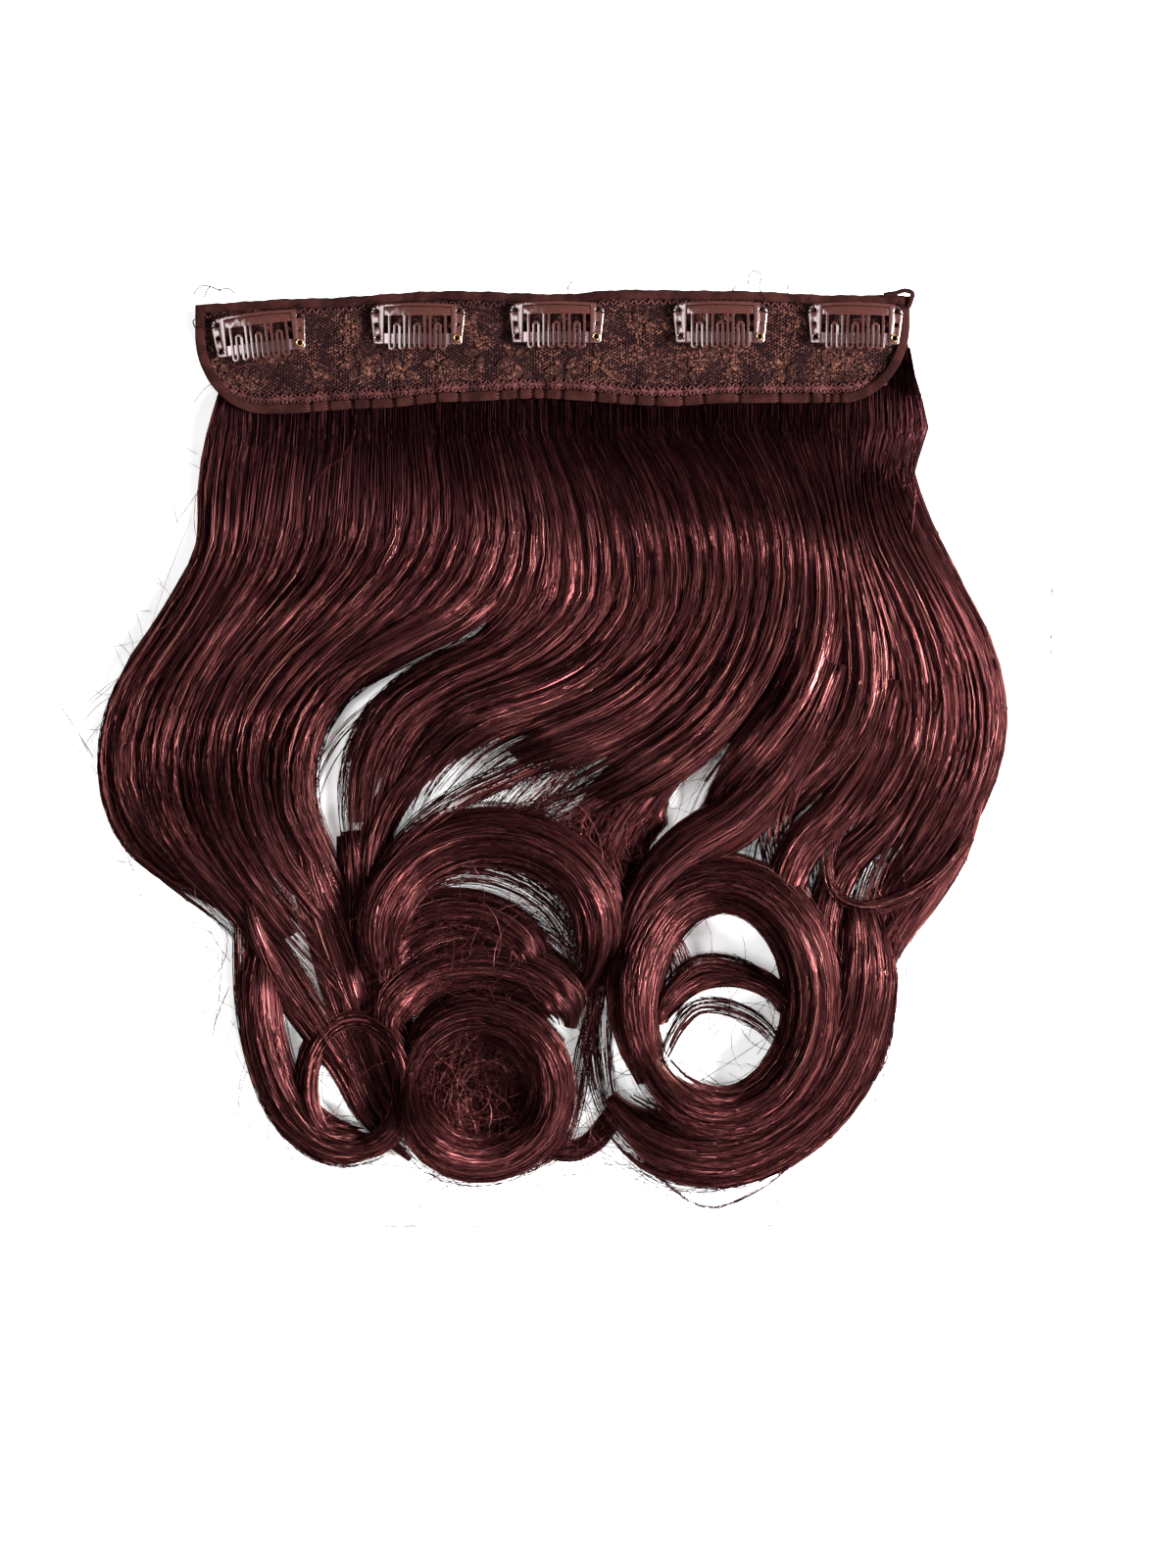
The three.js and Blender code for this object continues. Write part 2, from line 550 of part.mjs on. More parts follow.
// The strip behind the teeth, riveted at its ends.
function clipStrip() {
  const half = CLIP_WIDTH / 2 - SIDE_TAPER;
  const shape = new THREE.Shape();
  const corner = STRIP_HEIGHT / 4;
  shape.moveTo(-half + corner, 0);
  shape.lineTo(half - corner, 0);
  shape.lineTo(half, corner);
  shape.lineTo(half, STRIP_HEIGHT - corner);
  shape.lineTo(half - corner, STRIP_HEIGHT);
  shape.lineTo(-half + corner, STRIP_HEIGHT);
  shape.lineTo(-half, STRIP_HEIGHT - corner);
  shape.lineTo(-half, corner);
  shape.closePath();
  for (const side of [-1, 1]) {
    shape.holes.push(holePath(side * EYELET_X, EYELET_RISE, EYELET_NECK + RUNNING));
  }
  return stamped(shape, CLIP_LIFT, 2);
}

// A rivet through strip and arm, with a flange at each end.
function eyelet() {
  const lowest = rise(EYELET_X + EYELET_FLANGE);
  const highest = rise(EYELET_X - EYELET_FLANGE);
  const under = CLIP_LIFT + lowest - RUNNING;
  const bottom = under - EYELET_RIM;
  const over = PLATE_LOW + CLIP_WALL + highest + RUNNING;
  const profile = [
    [EYELET_BORE, bottom],
    [EYELET_FLANGE, bottom],
    [EYELET_FLANGE, under],
    [EYELET_NECK, under],
    [EYELET_NECK, over],
    [EYELET_FLANGE, over],
    [EYELET_FLANGE, over + EYELET_RIM],
    [EYELET_BORE, over + EYELET_RIM],
    [EYELET_BORE, bottom],
  ].map(([r, z]) => new THREE.Vector2(r, z));
  return geometryOf(solid(new THREE.LatheGeometry(profile, 8).rotateX(Math.PI / 2)));
}

function piece(name, geometry, look) {
  const mesh = new THREE.Mesh(geometry, new THREE.MeshStandardMaterial(look));
  mesh.name = name;
  return mesh;
}

const LACE_LOOK = { color: 0x4a2d28, roughness: 0.9, metalness: 0 };
const TAPE_LOOK = { color: 0x5a3a33, roughness: 0.7, metalness: 0 };
const HAIR_LOOK = { color: 0x2a0f14, roughness: 0.4, metalness: 0 };
const ENAMEL_LOOK = { color: 0x2b1714, roughness: 0.25, metalness: 0.2 };
const STRIP_LOOK = { color: 0x6d6168, roughness: 0.3, metalness: 0.6 };
const EYELET_LOOK = { color: 0x8a5f45, roughness: 0.35, metalness: 0.9 };

function clip(number, seat) {
  const x = seat.along * (HALF_BAND - CLIP_WIDTH / 2);
  const middle = topAt(x) - seat.down * BAND_HEIGHT;
  const turned = new THREE.Group();
  turned.position.set(x, middle, LACE_TOP);
  turned.rotation.z = THREE.MathUtils.degToRad(seat.turn);
  const settled = new THREE.Group();
  settled.position.y = -CLIP_HEIGHT / 2;
  const name = `clip_${number}`;
  const left = piece(`${name}_eyelet_left`, eyelet(), EYELET_LOOK);
  const right = piece(`${name}_eyelet_right`, eyelet(), EYELET_LOOK);
  left.position.set(-EYELET_X, EYELET_RISE, 0);
  right.position.set(EYELET_X, EYELET_RISE, 0);
  settled.add(
    piece(`${name}_frame`, clipFrame(), ENAMEL_LOOK),
    piece(`${name}_comb`, clipComb(), ENAMEL_LOOK),
    piece(`${name}_strip`, clipStrip(), STRIP_LOOK),
    left,
    right,
  );
  turned.add(settled);
  return turned;
}

const extension = new THREE.Group();
extension.name = "hair_extension";
extension.add(
  piece("hair", hair(), HAIR_LOOK),
  piece("lace_panel", lacePanel(), LACE_LOOK),
  piece("top_tape", topTape(), TAPE_LOOK),
  piece("hem_tape", hemTape(), TAPE_LOOK),
);
CLIP_SEATS.forEach((seat, i) => extension.add(clip(i + 1, seat)));

export default extension;
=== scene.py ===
"""Dresses a clip-in hair extension: combed waves and rings of hair, a lace band and its snap clips."""
import logging
import math
from collections.abc import Callable
from dataclasses import dataclass, field
from enum import Enum

import bmesh
import bpy
import numpy as np
from bpy.types import Material, Mesh, Node, NodeSocket, NodeTree, Object
from mathutils import Matrix, Vector


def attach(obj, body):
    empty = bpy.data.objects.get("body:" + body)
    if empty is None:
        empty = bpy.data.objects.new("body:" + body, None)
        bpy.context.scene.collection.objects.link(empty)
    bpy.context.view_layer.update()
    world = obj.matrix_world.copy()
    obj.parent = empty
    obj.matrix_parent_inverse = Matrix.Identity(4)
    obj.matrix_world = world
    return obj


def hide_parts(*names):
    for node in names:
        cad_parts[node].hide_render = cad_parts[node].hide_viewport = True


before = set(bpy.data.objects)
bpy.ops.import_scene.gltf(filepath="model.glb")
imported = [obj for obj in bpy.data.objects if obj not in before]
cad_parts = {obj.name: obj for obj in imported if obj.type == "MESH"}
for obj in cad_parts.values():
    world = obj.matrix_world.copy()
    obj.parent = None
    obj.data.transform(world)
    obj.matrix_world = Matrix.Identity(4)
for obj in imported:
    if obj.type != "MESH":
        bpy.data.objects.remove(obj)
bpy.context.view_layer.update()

MM = 0.001
LOG = logging.getLogger("hair_extension")
ROOT_BODY = "extension"

Colour = tuple[float, float, float]
Triple = tuple[float, float, float]
Pair = tuple[float, float]
Array = np.ndarray
Edge = Callable[[Array], Array]

# Lengths that the whole piece follows, in metres
HALF_SPREAD = 155 * MM
DROP = 313 * MM
MIDDLE = 0.481
LOFT = 30 * MM
HALF_BAND = 121 * MM
BAND_HEIGHT = 37 * MM
BAND_TOP = DROP * MIDDLE
CORNER_WIDTH = 23 * MM
CORNER_HEIGHT = 26 * MM
LACE_TOP = 8.9 * MM
TUCKED_HAIR = 7 * MM
LOCK_FLOOR = 0.35 * MM
STRAY_FLOOR = 0.4 * MM
TURN = 2 * math.pi


class Slot(Enum):
    """The material slots that a piece may take its finish from."""

    HAIR = "hair"
    LACE = "lace"
    TAPE = "tape"
    ENAMEL = "enamel"
    STRIP = "strip"
    EYELET = "eyelet"


def smooth(share: Array) -> Array:
    """Eases a share between 0 and 1."""
    held = np.clip(share, 0, 1)
    return held * held * (3 - 2 * held)


def on_hair(across: float, down: float, height: float) -> Array:
    """Gives the point at shares of the half spread, the drop and the loft."""
    return np.array([HALF_SPREAD * across, DROP * (MIDDLE - down), LOFT * height])


def finish_object(name: str, mesh: Mesh, body: str) -> Object:
    """Links a mesh as a piece that rides on a body.

    Args:
        name: the piece's name.
        mesh: its mesh, in the frame.
        body: the body that it moves with.

    Returns:
        The new object.
    """
    piece = bpy.data.objects.new(name, mesh)
    bpy.context.scene.collection.objects.link(piece)
    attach(piece, body)
    LOG.info("%s: %d faces", name, len(mesh.polygons))
    return piece


def finish_mesh(
    shape: bmesh.types.BMesh, name: str, finish: Material, smooth_faces: bool = True
) -> Mesh:
    """Turns a shape into a mesh in its finish, and frees the shape.

    Args:
        shape: the shape.
        name: the mesh's name.
        finish: its material.
        smooth_faces: whether its faces are shaded smooth.

    Returns:
        The mesh.
    """
    for face in shape.faces:
        face.smooth = smooth_faces
    mesh = bpy.data.meshes.new(name)
    shape.to_mesh(mesh)
    shape.free()
    mesh.materials.append(finish)
    return mesh


def raised_copy(shape: bmesh.types.BMesh, faces: list[bmesh.types.BMFace], rise: float) -> None:
    """Gives faces a wall by extruding them up or down.

    Args:
        shape: the shape.
        faces: its faces.
        rise: how far they go up, or down below 0.
    """
    grown = bmesh.ops.extrude_face_region(shape, geom=faces)
    moved = [part for part in grown["geom"] if isinstance(part, bmesh.types.BMVert)]
    bmesh.ops.translate(shape, verts=moved, vec=(0, 0, rise))


class Graph:
    """Adds and links the nodes of one shader tree."""

    def __init__(self, tree: NodeTree) -> None:
        """Starts on an emptied tree."""
        self.tree = tree
        tree.nodes.clear()

    def add(self, kind: str, **settings: object) -> Node:
        """Adds a node of a kind and sets its properties.

        Args:
            kind: the node's type.
            settings: its properties.

        Returns:
            The node.
        """
        node = self.tree.nodes.new(kind)
        for name, value in settings.items():
            setattr(node, name, value)
        return node

    def feed(self, node: Node, socket: str | int, source: object) -> None:
        """Links a socket, or sets its value.

        Args:
            node: the node.
            socket: its input.
            source: a socket or a value.
        """
        if isinstance(source, NodeSocket):
            self.tree.links.new(source, node.inputs[socket])
        else:
            node.inputs[socket].default_value = source

    def math(self, operation: str, *values: object) -> NodeSocket:
        """Adds a Math node and gives its result.

        Args:
            operation: what it does.
            values: sockets or numbers.

        Returns:
            The result.
        """
        node = self.add("ShaderNodeMath", operation=operation)
        for i, value in enumerate(values):
            self.feed(node, i, value)
        return node.outputs[0]

    def scaled(self, vector: object, factors: Triple) -> NodeSocket:
        """Multiplies a vector by three factors.

        Args:
            vector: the vector.
            factors: one for each axis.

        Returns:
            The product.
        """
        node = self.add("ShaderNodeVectorMath", operation="MULTIPLY")
        self.feed(node, 0, vector)
        self.feed(node, 1, factors)
        return node.outputs[0]

    def noise(self, vector: object, scale: float, detail: float = 2) -> NodeSocket:
        """Adds a noise and gives its value.

        Args:
            vector: where it is read.
            scale: its scale.
            detail: its octaves.

        Returns:
            Its value.
        """
        node = self.add("ShaderNodeTexNoise")
        self.feed(node, "Vector", vector)
        self.feed(node, "Scale", scale)
        self.feed(node, "Detail", detail)
        return node.outputs["Fac"]

    def remap(self, value: object, span: Pair, to: Pair = (0, 1)) -> NodeSocket:
        """Maps a span of values onto another one and holds it there.

        Args:
            value: what is mapped.
            span: the values that it runs over.
            to: what they become.

        Returns:
            The result.
        """
        node = self.add("ShaderNodeMapRange", interpolation_type="SMOOTHSTEP")
        self.feed(node, "Value", value)
        for socket, number in zip(("From Min", "From Max", "To Min", "To Max"), (*span, *to)):
            self.feed(node, socket, number)
        return node.outputs["Result"]

    def mix(self, share: object, first: object, second: object) -> NodeSocket:
        """Mixes two colours.

        Args:
            share: how much of the second.
            first: a colour.
            second: another one.

        Returns:
            The mix.
        """
        node = self.add("ShaderNodeMix", data_type="RGBA")
        self.feed(node, "Factor", share)
        for socket, value in ((6, first), (7, second)):
            self.feed(node, socket, (*value, 1) if isinstance(value, tuple) else value)
        return node.outputs[2]


def new_group(name: str, inputs: dict[str, str], outputs: dict[str, str]) -> tuple[Graph, dict, dict]:
    """Starts a shader node group.

    Args:
        name: the group's name.
        inputs: socket names and their types.
        outputs: the same for what it gives.

    Returns:
        Its graph, its input sockets and its output node's sockets, by name.
    """
    tree = bpy.data.node_groups.new(name, "ShaderNodeTree")
    graph = Graph(tree)
    for way, sockets in (("INPUT", inputs), ("OUTPUT", outputs)):
        for socket, kind in sockets.items():
            tree.interface.new_socket(name=socket, in_out=way, socket_type="NodeSocket" + kind)
    entry = graph.add("NodeGroupInput")
    leave = graph.add("NodeGroupOutput")
    return graph, dict(entry.outputs.items()), dict(leave.inputs.items())


@dataclass
class Effects:
    """The shader groups that the finishes share."""

    # Painted root shade: the span along the flow, in millimetres, over which the hair darkens towards its
    # roots, and the share of its colour left at the roots.
    painted_root_shade: Pair = (42.0, 100.0)
    painted_root_light: float = 0.06
    fine_streaks: Triple = (2.6, 0.02, 1.7)
    broad_streaks: Triple = (0.3, 0.009, 0.6)
    streak_roughness: Pair = (0.42, 0.27)
    blotch_share: float = 0.12
    scuff_scale: Triple = (400.0, 2600.0, 400.0)
    orange_peel: float = 420.0

    def __post_init__(self) -> None:
        """Builds each group once."""
        self.streaks = self.hair_streaks()
        self.net = self.net_weave()
        self.fuzz = self.fibre_fuzz()
        self.lacquer = self.lacquer_flow()

    def hair_streaks(self) -> NodeTree:
        """Makes fine and broad streaks along a flow given in millimetres, and paints shade on the hair near
        its roots.

        Returns:
            The group.
        """
        colours = {"Deep": "Color", "Middle": "Color", "Light": "Color"}
        results = {"Color": "Color", "Roughness": "Float", "Height": "Float"}
        graph, given, out = new_group("hair_streaks", {"Flow": "Vector", **colours}, results)
        fine = graph.noise(graph.scaled(given["Flow"], self.fine_streaks), 1.0, 3)
        broad = graph.noise(graph.scaled(given["Flow"], self.broad_streaks), 1.0, 2)
        ground = graph.mix(graph.remap(fine, (0.36, 0.66)), given["Deep"], given["Middle"])
        lit = graph.math("MULTIPLY", graph.remap(broad, (0.46, 0.7)), graph.remap(fine, (0.42, 0.72)))
        split = graph.add("ShaderNodeSeparateXYZ")
        graph.feed(split, 0, given["Flow"])
        # Painted shade: along the flow's first stretch the colour falls towards Deep, darkening the hair as
        # it leaves the band.
        grown = graph.remap(split.outputs["Y"], self.painted_root_shade, (self.painted_root_light, 1))
        coloured = graph.mix(lit, ground, given["Light"])
        graph.tree.links.new(graph.mix(grown, given["Deep"], coloured), out["Color"])
        graph.tree.links.new(graph.remap(fine, (0.3, 0.7), self.streak_roughness), out["Roughness"])
        graph.tree.links.new(fine, out["Height"])
        return graph.tree

    def net_weave(self) -> NodeTree:
        """Makes a six-sided net: three waves turned by a third of a half turn.

        Returns:
            The group.
        """
        graph, given, out = new_group(
            "net_weave", {"Vector": "Vector", "Waves": "Float"}, {"Threads": "Float", "Height": "Float"}
        )
        total = None
        for angle in (0, math.pi / 3, 2 * math.pi / 3):
            node = graph.add("ShaderNodeVectorMath", operation="DOT_PRODUCT")
            graph.feed(node, 0, given["Vector"])
            graph.feed(node, 1, (math.cos(angle), math.sin(angle), 0))
            wave = graph.math("COSINE", graph.math("MULTIPLY", node.outputs["Value"], given["Waves"]))
            total = wave if total is None else graph.math("ADD", total, wave)
        threads = graph.remap(total, (1.1, -0.4))
        graph.tree.links.new(threads, out["Threads"])
        graph.tree.links.new(threads, out["Height"])
        return graph.tree

    def fibre_fuzz(self) -> NodeTree:
        """Makes the uneven grain of yarn, which the lace also uses to place painted glints.

        Returns:
            The group.
        """
        graph, given, out = new_group(
            "fibre_fuzz", {"Vector": "Vector", "Scale": "Float"}, {"GrainAndGlint": "Float", "Blotch": "Float"}
        )
        node = graph.add("ShaderNodeTexNoise")
        graph.feed(node, "Vector", given["Vector"])
        graph.feed(node, "Scale", given["Scale"])
        graph.feed(node, "Detail", 4.0)
        graph.feed(node, "Roughness", 0.7)
        graph.tree.links.new(graph.remap(node.outputs["Fac"], (0.47, 0.66)), out["GrainAndGlint"])
        blotch = graph.add("ShaderNodeTexNoise")
        graph.feed(blotch, "Vector", given["Vector"])
        graph.feed(blotch, "Scale", graph.math("MULTIPLY", given["Scale"], self.blotch_share))
        graph.tree.links.new(graph.remap(blotch.outputs["Fac"], (0.38, 0.64)), out["Blotch"])
        return graph.tree

    def lacquer_flow(self) -> NodeTree:
        """Makes the soft unevenness and fine scuffs of stoved enamel.

        Returns:
            The group.
        """
        graph, given, out = new_group(
            "lacquer_flow", {"Vector": "Vector"}, {"Scuff": "Float", "Height": "Float"}
        )
        scuff = graph.noise(graph.scaled(given["Vector"], self.scuff_scale), 1.0, 3)
        graph.tree.links.new(graph.remap(scuff, (0.58, 0.76)), out["Scuff"])
        graph.tree.links.new(graph.noise(given["Vector"], self.orange_peel, 1), out["Height"])
        return graph.tree


def dressed(name: str, sockets: dict[str, object]) -> tuple[Material, Graph, Node]:
    """Starts a material with one Principled shader.

    Args:
        name: the material's name.
        sockets: values set on the shader itself.

    Returns:
        The material, its graph and the shader node.
    """
    material = bpy.data.materials.new(name)
    material.use_nodes = True
    graph = Graph(material.node_tree)
    shader = graph.add("ShaderNodeBsdfPrincipled")
    for socket, value in sockets.items():
        graph.feed(shader, socket, value)
    out = graph.add("ShaderNodeOutputMaterial")
    graph.tree.links.new(shader.outputs[0], out.inputs["Surface"])
    return material, graph, shader


def placed_group(graph: Graph, tree: NodeTree, **values: object) -> Node:
    """Puts a node group in a material with its own values.

    Args:
        graph: the material's graph.
        tree: the group.
        values: what its inputs take.

    Returns:
        The group's node.
    """
    node = graph.add("ShaderNodeGroup", node_tree=tree)
    for socket, value in values.items():
        graph.feed(node, socket, (*value, 1) if isinstance(value, tuple) and len(value) == 3 else value)
    return node


def bumped(graph: Graph, shader: Node, height: object, distance: float, strength: float) -> None:
    """Feeds a height into the shader's normal.

    Args:
        graph: the material's graph.
        shader: its shader.
        height: the height.
        distance: its reach in metres.
        strength: how much of it shows.
    """
    bump = graph.add("ShaderNodeBump")
    graph.feed(bump, "Height", height)
    graph.feed(bump, "Distance", distance)
    graph.feed(bump, "Strength", strength)
    graph.feed(shader, "Normal", bump.outputs[0])


def here(graph: Graph) -> NodeSocket:
    """Gives the object coordinates."""
    return graph.add("ShaderNodeTexCoord").outputs["Object"]


@dataclass(frozen=True)
class HairFinish:
    """A shade of hair, from its shadows to its lit strands."""

    name: str
    deep: Colour
    middle: Colour
    light: Colour
    metallic: float = 0.85
    bump: float = 0.0

    def material(self, effects: Effects) -> Material:
        """Builds the shader of this shade.

        Args:
            effects: the shared groups.

        Returns:
            The material.
        """
        sockets = {
            "IOR": 1.45,
            "Metallic": self.metallic,
            "Specular IOR Level": 0.3,
            "Specular Tint": (1.0, 0.5, 0.45, 1),
        }
        material, graph, shader = dressed(self.name, sockets)
        flow = graph.add("ShaderNodeAttribute", attribute_name="flow").outputs["Vector"]
        colours = {"Deep": self.deep, "Middle": self.middle, "Light": self.light}
        streaks = placed_group(graph, effects.streaks, Flow=flow, **colours)
        graph.feed(shader, "Base Color", streaks.outputs["Color"])
        graph.feed(shader, "Roughness", streaks.outputs["Roughness"])
        if self.bump:
            bumped(graph, shader, streaks.outputs["Height"], self.bump, 0.9)
        return material


@dataclass(frozen=True)
class LaceFinish:
    """Net with denser woven motifs over it, its yarn flecked with painted glints."""

    name: str
    hollow: Colour
    thread: Colour
    # the colour of the painted glints on the yarn
    bright: Colour
    net_pitch: float
    motif: float
    fuzz_scale: float = 1250.0
    patch_scale: float = 105.0
    hole_scale: float = 540.0
    clearing_scale: float = 170.0

    def material(self, effects: Effects) -> Material:
        """Builds the shader of net, or of a motif woven on it, with painted glints on its yarn.

        Args:
            effects: the shared groups.

        Returns:
            The material.
        """
        material, graph, shader = dressed(self.name, {"Roughness": 0.9, "Specular IOR Level": 0.03})
        place = here(graph)
        net = placed_group(graph, effects.net, Vector=place, Waves=TURN / self.net_pitch)
        fuzz = placed_group(graph, effects.fuzz, Vector=place, Scale=self.fuzz_scale)
        patch = graph.remap(graph.noise(place, self.patch_scale, 3), (0.5, 0.58), (0, 0.8))
        threads = graph.math("MAXIMUM", net.outputs["Threads"], graph.math("MAXIMUM", patch, self.motif))
        holes = graph.add("ShaderNodeTexVoronoi")
        graph.feed(holes, "Vector", place)
        graph.feed(holes, "Scale", self.hole_scale)
        pierced = graph.remap(holes.outputs["Distance"], (0.16, 0.36), (0.15, 1))
        cleared = graph.remap(graph.noise(place, self.clearing_scale, 2), (0.42, 0.56), (0, 1))
        open_ground = graph.math("MAXIMUM", pierced, graph.math("MAXIMUM", cleared, self.motif))
        threads = graph.math("MULTIPLY", threads, open_ground)
        # Painted glints: where the grain peaks and the blotches are strong, the yarn's colour runs up to the
        # bright colour.
        lit = graph.math("MULTIPLY", fuzz.outputs["GrainAndGlint"], graph.math("ADD", fuzz.outputs["Blotch"], 0.35))
        yarn = graph.mix(lit, self.thread, self.bright)
        graph.feed(shader, "Base Color", graph.mix(threads, self.hollow, yarn))
        height = graph.math("ADD", net.outputs["Height"], fuzz.outputs["GrainAndGlint"])
        bumped(graph, shader, graph.math("MULTIPLY", height, open_ground), 0.4 * MM, 0.9)
        return material


@dataclass(frozen=True)
class YarnFinish:
    """Ribbed satin tape or twisted thread."""

    name: str
    dark: Colour
    bright: Colour
    roughness: float
    rib_pitch: float
    fuzz_scale: float = 1100.0

    def material(self, effects: Effects) -> Material:
        """Builds the shader of ribs with an uneven grain.

        Args:
            effects: the shared groups.

        Returns:
            The material.
        """
        material, graph, shader = dressed(
            self.name, {"Roughness": self.roughness, "Specular IOR Level": 0.03}
        )
        place = here(graph)
        fuzz = placed_group(graph, effects.fuzz, Vector=place, Scale=self.fuzz_scale)
        wave = graph.add("ShaderNodeTexWave", wave_type="BANDS", bands_direction="DIAGONAL")
        graph.feed(wave, "Vector", place)
        graph.feed(wave, "Scale", 0.31 / self.rib_pitch)
        graph.feed(wave, "Distortion", 2.0)
        lit = graph.math("MULTIPLY", wave.outputs["Fac"], graph.math("ADD", fuzz.outputs["Blotch"], 0.3))
        graph.feed(shader, "Base Color", graph.mix(lit, self.dark, self.bright))
        height = graph.math("ADD", wave.outputs["Fac"], fuzz.outputs["GrainAndGlint"])
        bumped(graph, shader, height, 0.1 * MM, 0.7)
        return material


@dataclass(frozen=True)
class PaintFinish:
    """Enamel, lacquer or dulled metal."""

    name: str
    colour: Colour
    worn: Colour
    roughness: Pair
    metallic: float
    coat: float

    def material(self, effects: Effects) -> Material:
        """Builds the shader of a smooth coat with faint scuffs.

        Args:
            effects: the shared groups.

        Returns:
            The material.
        """
        material, graph, shader = dressed(
            self.name,
            {"Metallic": self.metallic, "Coat Weight": self.coat, "Coat Roughness": 0.06, "IOR": 1.5},
        )
        flow = placed_group(graph, effects.lacquer, Vector=here(graph))
        colour = graph.mix(flow.outputs["Scuff"], self.colour, self.worn)
        graph.feed(shader, "Base Color", colour)
        rough = graph.remap(flow.outputs["Scuff"], (0, 1), self.roughness)
        graph.feed(shader, "Roughness", rough)
        bumped(graph, shader, flow.outputs["Height"], 0.05 * MM, 0.35)
        return material


HAIR_SHADES = (
    HairFinish("hair_shadow", (0.003, 0.0005, 0.001), (0.02, 0.004, 0.005), (0.07, 0.018, 0.018)),
    HairFinish("hair_burgundy", (0.008, 0.0013, 0.0022), (0.055, 0.0135, 0.0145), (0.16, 0.053, 0.05)),
    HairFinish("hair_rosewood", (0.018, 0.0036, 0.0046), (0.09, 0.026, 0.025), (0.23, 0.088, 0.078)),
    HairFinish("hair_copper", (0.03, 0.008, 0.008), (0.14, 0.047, 0.042), (0.34, 0.145, 0.124)),
)
HAIR_BODY = HairFinish(
    "hair_body", (0.004, 0.0007, 0.0013), (0.06, 0.0145, 0.0155), (0.17, 0.052, 0.048), 0.8, 0.2 * MM
)
# Each lace's bright colour is the painted glint on its yarn.
LACE_NET = LaceFinish(
    "lace_net", (0.0015, 0.0004, 0.0008), (0.006, 0.002, 0.0026), (0.11, 0.042, 0.031), 0.95 * MM, 0.0
)
LACE_MOTIF = LaceFinish(
    "lace_motif", (0.004, 0.0015, 0.0013), (0.013, 0.0046, 0.0042), (0.17, 0.068, 0.048), 0.6 * MM, 0.35
)
TAPE = YarnFinish("satin_tape", (0.005, 0.0013, 0.0012), (0.026, 0.0076, 0.0064), 0.9, 0.5 * MM)
THREAD = YarnFinish("sewing_thread", (0.012, 0.0036, 0.004), (0.075, 0.025, 0.024), 0.8, 0.25 * MM)
DARK_THREAD = YarnFinish("dark_thread", (0.003, 0.0011, 0.0011), (0.01, 0.0035, 0.0035), 0.6, 0.25 * MM)
WEFT = YarnFinish("sewn_weft", (0.003, 0.0007, 0.001), (0.022, 0.006, 0.0065), 0.7, 0.6 * MM)
ENAMEL = PaintFinish("brown_enamel", (0.03, 0.0095, 0.008), (0.045, 0.018, 0.016), (0.17, 0.27), 0.1, 0.1)
STRIP = PaintFinish("lilac_lacquer", (0.09, 0.056, 0.066), (0.15, 0.11, 0.12), (0.2, 0.34), 0.4, 0.3)
BRASS = PaintFinish("dull_brass", (0.26, 0.15, 0.065), (0.1, 0.055, 0.03), (0.3, 0.5), 0.95, 0.1)


class Tube:
    """A closed tube made once, whose copies are laid along many lines."""

    def __init__(self, sides: int, stations: int) -> None:
        """Makes the tube from a capped cylinder cut into rings.

        Args:
            sides: faces round the tube.
            stations: rings along it.
        """
        shape = bmesh.new()
        bmesh.ops.create_cone(shape, cap_ends=True, segments=sides, radius1=1, radius2=1, depth=1)
        upright = [e for e in shape.edges if abs(e.verts[0].co.z - e.verts[1].co.z) > 0.5]
        bmesh.ops.subdivide_edges(shape, edges=upright, cuts=stations - 2, use_grid_fill=True)
        bmesh.ops.recalc_face_normals(shape, faces=shape.faces)
        shape.verts.index_update()
        places = np.array([v.co for v in shape.verts])
        self.stations = stations
        self.ring = np.rint((places[:, 2] + 0.5) * (stations - 1)).astype(int)
        self.side = places[:, 0]
        self.rise = places[:, 1]
        self.faces = [[v.index for v in f.verts] for f in shape.faces]
        shape.free()

    def mesh(self, name: str, places: Array, flow: Array, shades: Array) -> Mesh:
        """Joins many copies of the tube in one mesh.

        Args:
            name: the mesh's name.
            places: copies by vertices by three.
            flow: the same, what the hair shader reads.
            shades: the material of each copy.

        Returns:
            The mesh.
        """
        copies, count = places.shape[:2]
        totals = np.array([len(f) for f in self.faces])
        corners = np.concatenate([np.array(f) for f in self.faces])
        offsets = np.arange(copies)[:, None] * count
        mesh = bpy.data.meshes.new(name)
        mesh.vertices.add(copies * count)
        mesh.loops.add(copies * len(corners))
        mesh.polygons.add(copies * len(totals))
        mesh.vertices.foreach_set("co", places.astype(np.float32).ravel())
        mesh.loops.foreach_set("vertex_index", (corners[None, :] + offsets).ravel())
        starts = np.concatenate([[0], np.cumsum(np.tile(totals, copies))[:-1]])
        mesh.polygons.foreach_set("loop_start", starts)
        mesh.polygons.foreach_set("material_index", np.repeat(shades, len(totals)))
        mesh.polygons.foreach_set("use_smooth", np.ones(copies * len(totals), bool))
        mesh.update(calc_edges=True)
        layer = mesh.attributes.new("flow", "FLOAT_VECTOR", "POINT")
        layer.data.foreach_set("vector", flow.astype(np.float32).ravel())
        mesh.validate()
        return mesh

    def round_lines(self, lines: Array, radii: Array) -> Array:
        """Lays round copies along lines.

        Args:
            lines: copies by stations by three.
            radii: copies by stations.

        Returns:
            The copies' vertices.
        """
        along = np.gradient(lines, axis=1)
        along /= np.linalg.norm(along, axis=2, keepdims=True) + 1e-12
        aside = np.cross(along, (0.0, 0.0, 1.0))
        aside /= np.linalg.norm(aside, axis=2, keepdims=True) + 1e-12
        over = np.cross(along, aside)
        reach = radii[:, self.ring, None]
        return lines[:, self.ring] + reach * (
            aside[:, self.ring] * self.side[None, :, None] + over[:, self.ring] * self.rise[None, :, None]
        )


